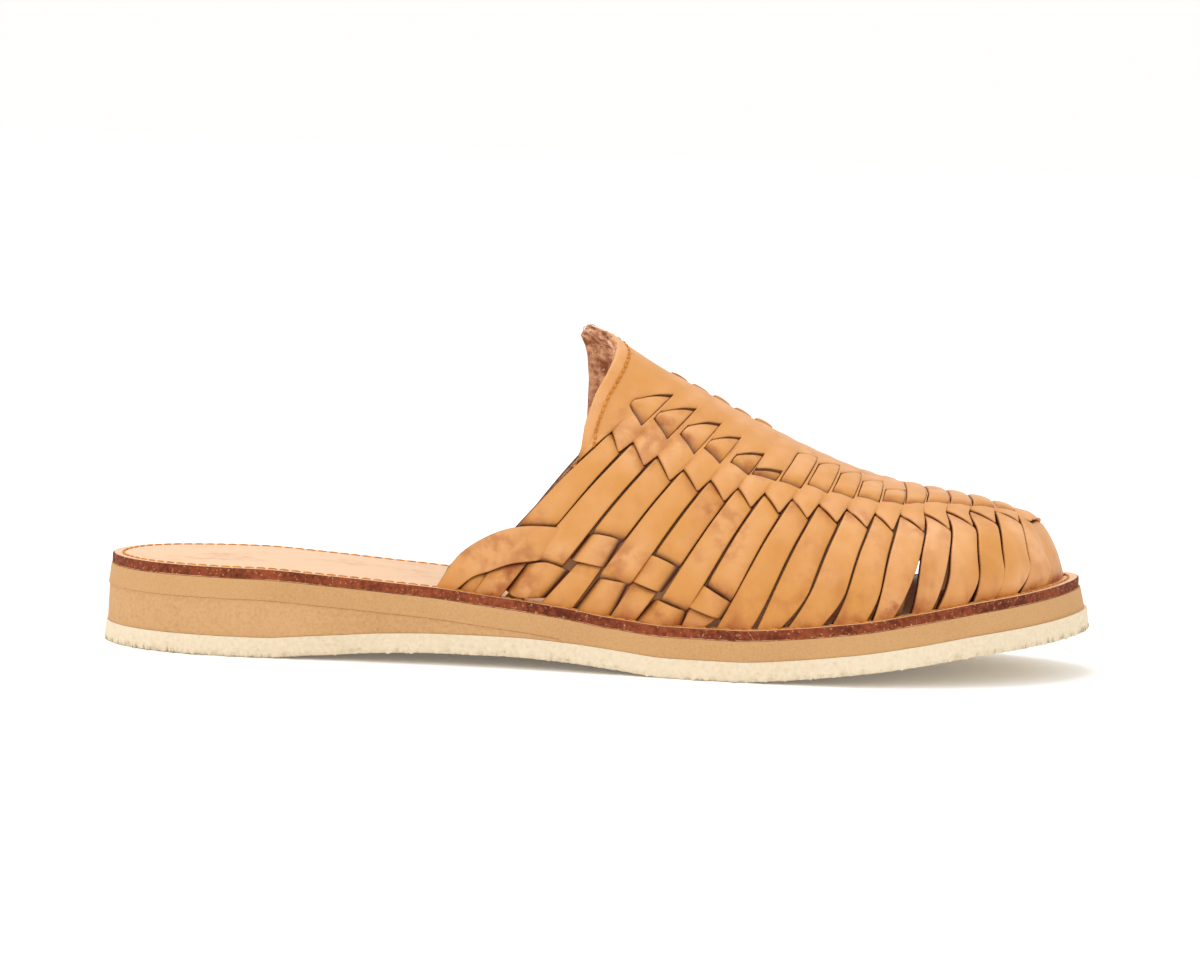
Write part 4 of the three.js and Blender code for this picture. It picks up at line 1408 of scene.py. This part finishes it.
class Graph:
    """The shader nodes of one material."""

    def __init__(self, name: str) -> None:
        """Starts a material whose patterns follow Object coordinates.

        Args:
            name: The material's name.
        """
        self.material = bpy.data.materials.new(name)
        self.material.use_nodes = True
        self.tree = self.material.node_tree
        self.tree.nodes.clear()
        self.place = self.node("ShaderNodeTexCoord", output="Object")

    def node(self, kind: str, settings: dict[str, Any] | None = None, inputs: dict[Any, Any] | None = None,
             output: int | str = 0) -> Wire:
        """Adds a node.

        Args:
            kind: Its type.
            settings: Its properties.
            inputs: Values or wires by socket.
            output: The socket to give back.

        Returns:
            The output as a wire.
        """
        made = self.tree.nodes.new(kind)
        for name, value in (settings or {}).items():
            setattr(made, name, value)
        for key, value in (inputs or {}).items():
            if isinstance(value, Wire):
                self.tree.links.new(value.socket, made.inputs[key])
            else:
                made.inputs[key].default_value = value
        return Wire(self, made.outputs[output])

    def noise(self, scale: float, detail: float = 3.0,
              stretch: tuple[float, float, float] | None = None) -> Wire:
        """Noise with features of about 1/scale metres.

        Args:
            scale: Features a metre.
            detail: Octaves of finer noise.
            stretch: Factors on the three axes, or None.

        Returns:
            The noise as a wire.
        """
        place = self.place
        if stretch:
            place = self.node("ShaderNodeVectorMath", {"operation": "MULTIPLY"}, {0: place, 1: stretch})
        return self.node("ShaderNodeTexNoise", inputs={"Vector": place, "Scale": scale, "Detail": detail})

    def cells(self, scale: float) -> Wire:
        """Distance to the nearest of scattered points."""
        return self.node("ShaderNodeTexVoronoi", inputs={"Vector": self.place, "Scale": scale})

    def bump(self, height: Wire, distance: float, strength: float = 1.0) -> Wire:
        """A normal from a height of so many metres."""
        inputs = {"Height": height, "Distance": distance, "Strength": strength}
        return self.node("ShaderNodeBump", inputs=inputs)

    def finish(self, colour: Any, roughness: Any, normal: Wire | None = None,
               **fixed: float) -> bpy.types.Material:
        """Closes the graph with a Principled shader.

        Args:
            colour: The base colour, as a wire or a value.
            roughness: The roughness, as a wire or a value.
            normal: The bumped normal, or None.
            **fixed: Values of other sockets, by their names with underscores.

        Returns:
            The material.
        """
        inputs: dict[str, Any] = {"Base Color": colour, "Roughness": roughness}
        if normal:
            inputs["Normal"] = normal
        inputs.update({name.replace("_", " "): value for name, value in fixed.items()})
        shader = self.node("ShaderNodeBsdfPrincipled", inputs=inputs)
        end = self.tree.nodes.new("ShaderNodeOutputMaterial")
        self.tree.links.new(shader.socket, end.inputs["Surface"])
        return self.material


@dataclass(frozen=True)
class Leather:
    """Vegetable-tanned leather, paler at random and with painted highlights, browner where it is burnished,
    with painted shadow in its slits.
    """

    name: str
    base: Tone = Tone(208, 141, 63)
    # pale: the colour of random paler patches and of painted highlights.
    pale: Tone = Tone(234, 175, 121)
    burnt: Tone = Tone(164, 84, 24)
    # slit: the colour of painted shadow in slits, beside tucked ends and at cut edges.
    slit: Tone = Tone(84, 36, 16)
    roughness: float = 0.42
    grain: float = 0.00012

    def material(self) -> bpy.types.Material:
        """Makes the material.

        Returns:
            The material, which reads painted slit shadow, burnish, and paleness with painted highlights from
            the mesh's tone attribute.
        """
        graph = Graph(self.name)
        tone = graph.node("ShaderNodeAttribute", {"attribute_name": "tone"}, output="Color")
        parts = [graph.node("ShaderNodeSeparateColor", inputs={0: tone}, output=k) for k in range(3)]
        slit, burnish, pale_and_highlight = parts
        clouds = graph.noise(55, 3)
        mottle = graph.noise(260, 4)
        streak = graph.noise(140, 3, (1.0, 0.6, 0.35))
        # Paler patches and painted highlights, broken up by clouds.
        pale_and_highlight_patches = pale_and_highlight * clouds.between(0.3, 0.65)
        colour = pale_and_highlight_patches.blend(self.base.linear(), self.pale.linear())
        spots = mottle.between(0.42, 0.72) * 0.7 + streak.between(0.4, 0.7) * 0.7
        cloudy = clouds.between(0.48, 0.68) * mottle.between(0.35, 0.65) * 0.5
        browned = burnish * spots + cloudy + streak.between(0.54, 0.78) * 0.16
        colour = browned.blend(colour, self.burnt.linear())
        # Painted shade: darkens the face towards the slit shadow colour where the tone's shade is set.
        colour = (slit ** 1.3).blend(colour, self.slit.linear())
        grain = graph.cells(1500) * 0.6 + graph.noise(900, 3) * 0.8 + graph.noise(220, 2) * 1.2
        rough = mottle * 0.22 + (self.roughness - 0.1)
        normal = graph.bump(grain, self.grain, 0.7)
        return graph.finish(colour, rough, normal, Specular_IOR_Level=0.45)


@dataclass(frozen=True)
class Fibrous:
    """Suede, a cut edge or another fibrous surface."""

    name: str
    base: Tone
    dark: Tone
    fleck: Tone
    flecks: float = 0.2
    scale: float = 700
    relief: float = 0.0003
    roughness: float = 0.9
    span: tuple[float, float] = (0.4, 0.8)

    def material(self) -> bpy.types.Material:
        """Makes the material.

        Returns:
            The material, with fibres, soft clouds and pale flecks.
        """
        graph = Graph(self.name)
        fibres = graph.noise(self.scale, 4)
        clouds = graph.noise(self.scale / 9, 3)
        mixed = (fibres * 0.6 + clouds * 0.6).between(*self.span)
        colour = mixed.blend(self.dark.linear(), self.base.linear())
        spots = graph.noise(self.scale * 1.9, 2).between(0.62, 0.7) * self.flecks
        colour = spots.blend(colour, self.fleck.linear())
        normal = graph.bump(fibres, self.relief)
        return graph.finish(colour, self.roughness, normal, Specular_IOR_Level=0.25)


@dataclass(frozen=True)
class Rubber:
    """Foamed or crepe rubber with a pebbled or grainy skin."""

    name: str
    base: Tone
    dark: Tone
    scale: float
    relief: float
    roughness: float = 0.75

    def material(self) -> bpy.types.Material:
        """Makes the material.

        Returns:
            The material, with pebbles, a finer grain and soft clouds.
        """
        graph = Graph(self.name)
        pebbles = graph.cells(self.scale)
        grain = graph.noise(self.scale * 2.2, 3)
        clouds = graph.noise(self.scale / 22, 3)
        mixed = (grain * 0.7 + clouds * 0.5).between(0.35, 0.8)
        colour = mixed.blend(self.dark.linear(), self.base.linear())
        colour = (pebbles.between(0.05, 0.4) * 0.35).blend(colour, self.base.linear())
        normal = graph.bump(pebbles * 0.8 + grain * 0.6, self.relief)
        return graph.finish(colour, self.roughness, normal, Specular_IOR_Level=0.3)


class Finish(Enum):
    """The finishes of the shoe's surfaces."""

    LEATHER = Leather("leather")
    FOOTBED = Leather("footbed", Tone(228, 186, 146), Tone(234, 196, 160), Tone(196, 142, 94),
                      Tone(120, 60, 30), roughness=0.5, grain=0.00006)
    SUEDE = Fibrous("suede", Tone(236, 182, 142), Tone(150, 90, 60), Tone(250, 216, 184),
                    flecks=0.7, scale=520, relief=0.0009, span=(0.48, 0.72))
    CUT = Fibrous("cut_edge", Tone(124, 62, 30), Tone(70, 30, 14), Tone(190, 130, 80), flecks=0.25)
    INSOLE_EDGE = Fibrous("insole_edge", Tone(150, 74, 42), Tone(88, 36, 18), Tone(214, 160, 120),
                          flecks=0.6, scale=800)
    MIDSOLE = Rubber("midsole_foam", Tone(206, 160, 108), Tone(186, 138, 88), scale=900, relief=0.00016)
    WEDGE = Rubber("wedge_foam", Tone(210, 164, 114), Tone(184, 138, 88), scale=520, relief=0.00026)
    OUTSOLE = Rubber("outsole_crepe", Tone(234, 218, 190), Tone(216, 196, 162), scale=420, relief=0.00034,
                     roughness=0.85)
    THREAD = Fibrous("thread", Tone(226, 150, 48), Tone(180, 104, 26), Tone(240, 190, 110),
                     flecks=0.2, scale=2500, relief=0.0001, roughness=0.6)


@dataclass
class StitchRun:
    """A row of stitches along a path, repeated by geometry nodes."""

    name: str
    pitch: float
    length: float
    radius: float
    scatter: float = 0.0
    sides: int = 8
    tree: bpy.types.NodeTree | None = None
    sockets: dict[str, str] = field(default_factory=dict)

    def grow(self) -> None:
        """Builds the node tree."""
        tree = bpy.data.node_groups.new(self.name, "GeometryNodeTree")
        face = tree.interface
        face.new_socket("Geometry", in_out="OUTPUT", socket_type="NodeSocketGeometry")
        face.new_socket("Geometry", in_out="INPUT", socket_type="NodeSocketGeometry")
        for name in ("Pitch", "Length", "Radius", "Scatter"):
            item = face.new_socket(name, in_out="INPUT", socket_type="NodeSocketFloat")
            self.sockets[name] = item.identifier
        item = face.new_socket("Sides", in_out="INPUT", socket_type="NodeSocketInt")
        self.sockets["Sides"] = item.identifier
        item = face.new_socket("Material", in_out="INPUT", socket_type="NodeSocketMaterial")
        self.sockets["Material"] = item.identifier
        nodes, links = tree.nodes, tree.links
        start, end = nodes.new("NodeGroupInput"), nodes.new("NodeGroupOutput")
        curve = nodes.new("GeometryNodeMeshToCurve")
        points = nodes.new("GeometryNodeCurveToPoints")
        points.mode = "LENGTH"
        bead = nodes.new("GeometryNodeMeshUVSphere")
        bead.inputs["Radius"].default_value = 1.0
        links.new(start.outputs["Sides"], bead.inputs["Segments"])
        links.new(start.outputs["Sides"], bead.inputs["Rings"])
        shape = nodes.new("ShaderNodeCombineXYZ")
        copies = nodes.new("GeometryNodeInstanceOnPoints")
        back = nodes.new("ShaderNodeMath")
        back.operation = "MULTIPLY"
        back.inputs[1].default_value = -1.0
        sway = nodes.new("FunctionNodeRandomValue")
        sway.data_type = "FLOAT_VECTOR"
        sway.inputs["Seed"].default_value = SEED
        turned = nodes.new("GeometryNodeRotateInstances")
        real = nodes.new("GeometryNodeRealizeInstances")
        paint = nodes.new("GeometryNodeSetMaterial")
        links.new(start.outputs["Geometry"], curve.inputs["Mesh"])
        links.new(curve.outputs["Curve"], points.inputs["Curve"])
        links.new(start.outputs["Pitch"], points.inputs["Length"])
        links.new(start.outputs["Radius"], shape.inputs["X"])
        links.new(start.outputs["Radius"], shape.inputs["Y"])
        links.new(start.outputs["Length"], shape.inputs["Z"])
        links.new(points.outputs["Points"], copies.inputs["Points"])
        links.new(points.outputs["Rotation"], copies.inputs["Rotation"])
        links.new(bead.outputs["Mesh"], copies.inputs["Instance"])
        links.new(shape.outputs["Vector"], copies.inputs["Scale"])
        links.new(start.outputs["Scatter"], back.inputs[0])
        links.new(back.outputs["Value"], sway.inputs[0])
        links.new(start.outputs["Scatter"], sway.inputs[1])
        links.new(sway.outputs["Value"], turned.inputs["Rotation"])
        links.new(copies.outputs["Instances"], turned.inputs["Instances"])
        links.new(turned.outputs["Instances"], real.inputs["Geometry"])
        links.new(real.outputs["Geometry"], paint.inputs["Geometry"])
        links.new(start.outputs["Material"], paint.inputs["Material"])
        links.new(paint.outputs["Geometry"], end.inputs["Geometry"])
        self.tree = tree

    def build(self, paths: Sequence[Array], origin: Array, material: bpy.types.Material) -> bpy.types.Object:
        """Sews along each path.

        Args:
            paths: Points of each path, in sole coordinates.
            origin: The frame's origin in sole coordinates.
            material: The thread or the fibres.

        Returns:
            All stitches as one plain mesh object.
        """
        if self.tree is None:
            self.grow()
        corners, edges, count = [], [], 0
        for path in paths:
            corners += ((path - origin) * MM).tolist()
            edges += [(count + k, count + k + 1) for k in range(len(path) - 1)]
            count += len(path)
        line = bpy.data.meshes.new(self.name + "_line")
        line.from_pydata(corners, edges, [])
        made = bpy.data.objects.new(self.name, line)
        bpy.context.scene.collection.objects.link(made)
        sewing = made.modifiers.new("sewing", "NODES")
        sewing.node_group = self.tree
        values = {"Pitch": self.pitch * MM, "Length": self.length / 2 * MM, "Radius": self.radius * MM,
                  "Scatter": self.scatter, "Sides": self.sides, "Material": material}
        for name, value in values.items():
            sewing[self.sockets[name]] = value
        bpy.context.view_layer.update()
        seen = made.evaluated_get(bpy.context.evaluated_depsgraph_get())
        baked = bpy.data.meshes.new_from_object(seen)
        made.modifiers.remove(sewing)
        made.data = baked
        baked.name = self.name
        baked.polygons.foreach_set("use_smooth", np.ones(len(baked.polygons), bool))
        bpy.data.meshes.remove(line)
        return made


@dataclass
class Shoe:
    """The whole shoe, piece by piece."""

    form: SoleForm = field(default_factory=SoleForm)
    seam: float = 0.06
    wedge_step: tuple[float, float] = (-0.004, 0.001)
    stitch_lift: float = 1.3
    insole_stitch_lift: float = 0.02
    fringe_rows: tuple[tuple[float, float], ...] = ((0.15, 0.9), (0.35, 0.45), (0.55, 0.0))
    groove: tuple[tuple[float, float], ...] = (
        (1.9, 0.0), (2.35, -0.08), (2.75, -0.3), (3.15, -0.08), (3.6, 0.0),
    )
    finishes: dict[Finish, bpy.types.Material] = field(default_factory=dict)

    def __post_init__(self) -> None:
        """Charts the last, places the frame's origin and makes the finishes."""
        self.last = Last(self.form)
        self.charts = {side: Chart(side) for side in Side}
        self.rng = np.random.default_rng(SEED)
        turns = np.linspace(0, 1, 800)
        rims = [self.form.outline(turns, side)[:, 1] for side in Side]
        self.origin = np.array([self.form.length / 2, (rims[0].min() + rims[1].max()) / 2, 0.0])
        for finish in Finish:
            self.finishes[finish] = finish.value.material()

    def take(self, made: bpy.types.Object, node: str) -> None:
        """Declares a finished piece in place of its CAD node.

        Args:
            made: The piece.
            node: The CAD node that it stands for.
        """
        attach(made, "root")
        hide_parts(node)
        log.info("%s: %d faces", made.name, len(made.data.polygons))

    def leather(self, name: str, sheets: Sequence[Sheet]) -> bpy.types.Object:
        """One object from sheets of leather.

        Args:
            name: The object's name.
            sheets: Its pieces.

        Returns:
            The object.
        """
        mesh = LeatherMesh(name, self.last, self.origin)
        for sheet in sheets:
            mesh.add(sheet)
        return mesh.build([self.finishes[key] for key in (Finish.LEATHER, Finish.SUEDE, Finish.CUT)])

    def upper(self) -> None:
        """Makes the woven upper."""
        for side, chart in self.charts.items():
            weave = SideWeave(chart, self.last, self.rng)
            key = side.name.lower()
            sheets = weave.sheets(weave.strips())
            if side is Side.OUTER:
                sheets += weave.sheets([weave.tip_piece()])
            self.take(self.leather(f"strips_{key}", sheets), "upper")
            self.take(self.leather(f"teeth_{key}", weave.sheets(weave.teeth())), "upper")
            self.take(self.leather(f"straps_{key}", weave.sheets(weave.straps())), "upper")
        vamp = Vamp(self.charts)
        self.take(self.leather("vamp", [vamp.sheet()]), "upper")
        skin = LeatherMesh("backing", self.last, self.origin)
        Backing(self.charts, self.last).add_to(skin)
        suede = self.finishes[Finish.SUEDE]
        self.take(skin.build([self.finishes[Finish.LEATHER], suede, suede]), "upper")
        seams = [vamp.seam(side, vamp.hem, self.stitch_lift, self.last) for side in Side]
        thread = self.finishes[Finish.THREAD]
        fringes = []
        for side, rows in ((Side.OUTER, self.fringe_rows[:1]), (Side.INNER, self.fringe_rows)):
            fringes += [vamp.seam(side, inwards, lift, self.last) for inwards, lift in rows]
        fibres = StitchRun("collar_fibres", pitch=0.5, length=0.75, radius=0.075, scatter=1.6, sides=4)
        self.take(fibres.build(fringes, self.origin, suede), "upper")
        stitches = StitchRun("collar_stitches", pitch=1.95, length=1.8, radius=0.4)
        self.take(stitches.build(seams, self.origin, thread), "upper")

    def wedge_bottom(self, x: Array) -> Array:
        """Height of the finer wedge's underside, a thin seam above the outsole."""
        return self.form.outsole_top(x) + self.seam

    def midsole_bottom(self, x: Array) -> Array:
        """Height of the finer midsole's underside.

        Args:
            x: Places along the sole.

        Returns:
            The height, a thin seam above the wedge and, past its end, above the outsole.
        """
        start, end = (WEDGE_END + step for step in self.wedge_step)
        on_wedge = np.minimum(self.form.midsole_bottom(x), self.form.wedge_top(x) + self.seam)
        past_wedge = smooth(start, end, x / self.form.length)
        return blend(on_wedge, self.wedge_bottom(x), past_wedge)

    def insole_bottom(self, x: Array) -> Array:
        """Height of the finer insole's underside, a thin seam above the midsole."""
        return self.form.midsole_top(x) + self.seam

    def sole(self) -> None:
        """Makes the layers of the sole, from the outsole up, and the insole's stitches."""
        form = self.form
        layers = [
            ("outsole", [Finish.OUTSOLE] * 3, SoleLayer(
                "outsole_fine", form, form.underside, form.outsole_top, lean=(0.0, 0.25),
                low_round=0.8, high_round=0.12, crumbs=1.15)),
            ("heel_wedge", [Finish.WEDGE] * 3, SoleLayer(
                "heel_wedge_fine", form, self.wedge_bottom, form.wedge_top, lean=(0.5, 0.65),
                end=WEDGE_END, low_round=0.05, high_round=0.05)),
            ("midsole", [Finish.MIDSOLE] * 3, SoleLayer(
                "midsole_fine", form, self.midsole_bottom, form.midsole_top, lean=(0.45, 0.85),
                low_round=0.06, high_round=0.15)),
            ("insole", [Finish.SUEDE, Finish.INSOLE_EDGE, Finish.FOOTBED], SoleLayer(
                "insole_fine", form, self.insole_bottom, form.insole_top, lean=(1.0, 1.0),
                low_round=0.2, high_round=0.45, top_rows=self.groove)),
        ]
        for node, finishes, layer in layers:
            made = layer.build(self.origin, self.rng, [self.finishes[finish] for finish in finishes])
            self.take(made, node)
        stitch_inset, _ = self.groove[len(self.groove) // 2]
        turn = np.linspace(0, 1, 500)
        loop = []
        for side, way in ((Side.OUTER, 1), (Side.INNER, -1)):
            flat = form.inset(turn, side, form.side_lean + stitch_inset, form.toe_lean + stitch_inset)[::way]
            height = form.insole_top(flat[:, 0])[:, None] + self.insole_stitch_lift
            loop.append(np.concatenate([flat, height], 1))
        thread = self.finishes[Finish.THREAD]
        run = StitchRun("insole_stitches", pitch=3.0, length=2.5, radius=0.28)
        self.take(run.build([np.concatenate(loop)], self.origin, thread), "insole")


@dataclass(frozen=True)
class Studio:
    """A pale floor, soft light and the photograph's camera."""

    yaw: float = math.radians(-3.0)
    elevation: float = math.radians(5.1)
    roll: float = math.radians(2.5)
    distance: float = 1.15
    target: tuple[float, float, float] = (-0.002, 0.0003, 0.0463)
    lens: float = 131.4

    def floor(self) -> None:
        """A wide plain floor."""
        mesh = bpy.data.meshes.new("floor")
        mesh.from_pydata([(-6, -6, 0), (6, -6, 0), (6, 9, 0), (-6, 9, 0)], [], [(0, 1, 2, 3)])
        graph = Graph("floor")
        mesh.materials.append(graph.finish((0.95, 0.947, 0.943, 1.0), 0.9, Specular_IOR_Level=0.0,
                                           Emission_Strength=0.07))
        made = bpy.data.objects.new("floor", mesh)
        bpy.context.scene.collection.objects.link(made)

    def lights(self) -> None:
        """A pale world, with a large soft light above and one from the front."""
        world = bpy.data.worlds.new("studio")
        world.use_nodes = True
        back = world.node_tree.nodes["Background"]
        back.inputs["Color"].default_value = (1.0, 0.995, 0.985, 1.0)
        back.inputs["Strength"].default_value = 1.0
        bpy.context.scene.world = world
        for name, place, size, power in (("overhead", (-0.25, 0.15, 1.5), 1.0, 8.0),
                                         ("front", (-0.7, -1.5, 1.1), 0.7, 2.5)):
            lamp = bpy.data.lights.new(name, "AREA")
            lamp.size = size
            lamp.energy = power
            made = bpy.data.objects.new(name, lamp)
            made.location = place
            aim = Vector((0, 0, 0.03)) - Vector(place)
            made.rotation_euler = aim.to_track_quat("-Z", "Y").to_euler()
            bpy.context.scene.collection.objects.link(made)

    def camera(self) -> None:
        """The photograph's camera, slightly rolled."""
        a, e, r = self.yaw, self.elevation, self.roll
        towards = Vector((math.sin(a) * math.cos(e), -math.cos(a) * math.cos(e), math.sin(e)))
        right = Vector((math.cos(a), math.sin(a), 0.0))
        up = towards.cross(right)
        rolled_right = right * math.cos(r) + up * math.sin(r)
        rolled_up = up * math.cos(r) - right * math.sin(r)
        data = bpy.data.cameras.new("camera")
        data.sensor_width = 36.0
        data.lens = self.lens
        data.clip_start = 0.05
        data.clip_end = 50.0
        made = bpy.data.objects.new("camera", data)
        turn = Matrix((rolled_right, rolled_up, towards)).transposed().to_4x4()
        made.matrix_world = Matrix.Translation(Vector(self.target) + towards * self.distance) @ turn
        bpy.context.scene.collection.objects.link(made)
        bpy.context.scene.camera = made

    def build(self) -> None:
        """Makes the whole studio."""
        self.floor()
        self.lights()
        self.camera()
        bpy.context.scene.view_settings.view_transform = "Standard"


def main() -> None:
    """Builds the shoe and its studio."""
    logging.basicConfig(level=logging.INFO, format="%(message)s")
    shoe = Shoe()
    shoe.upper()
    shoe.sole()
    Studio().build()
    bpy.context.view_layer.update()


if __name__ == "__main__":
    main()
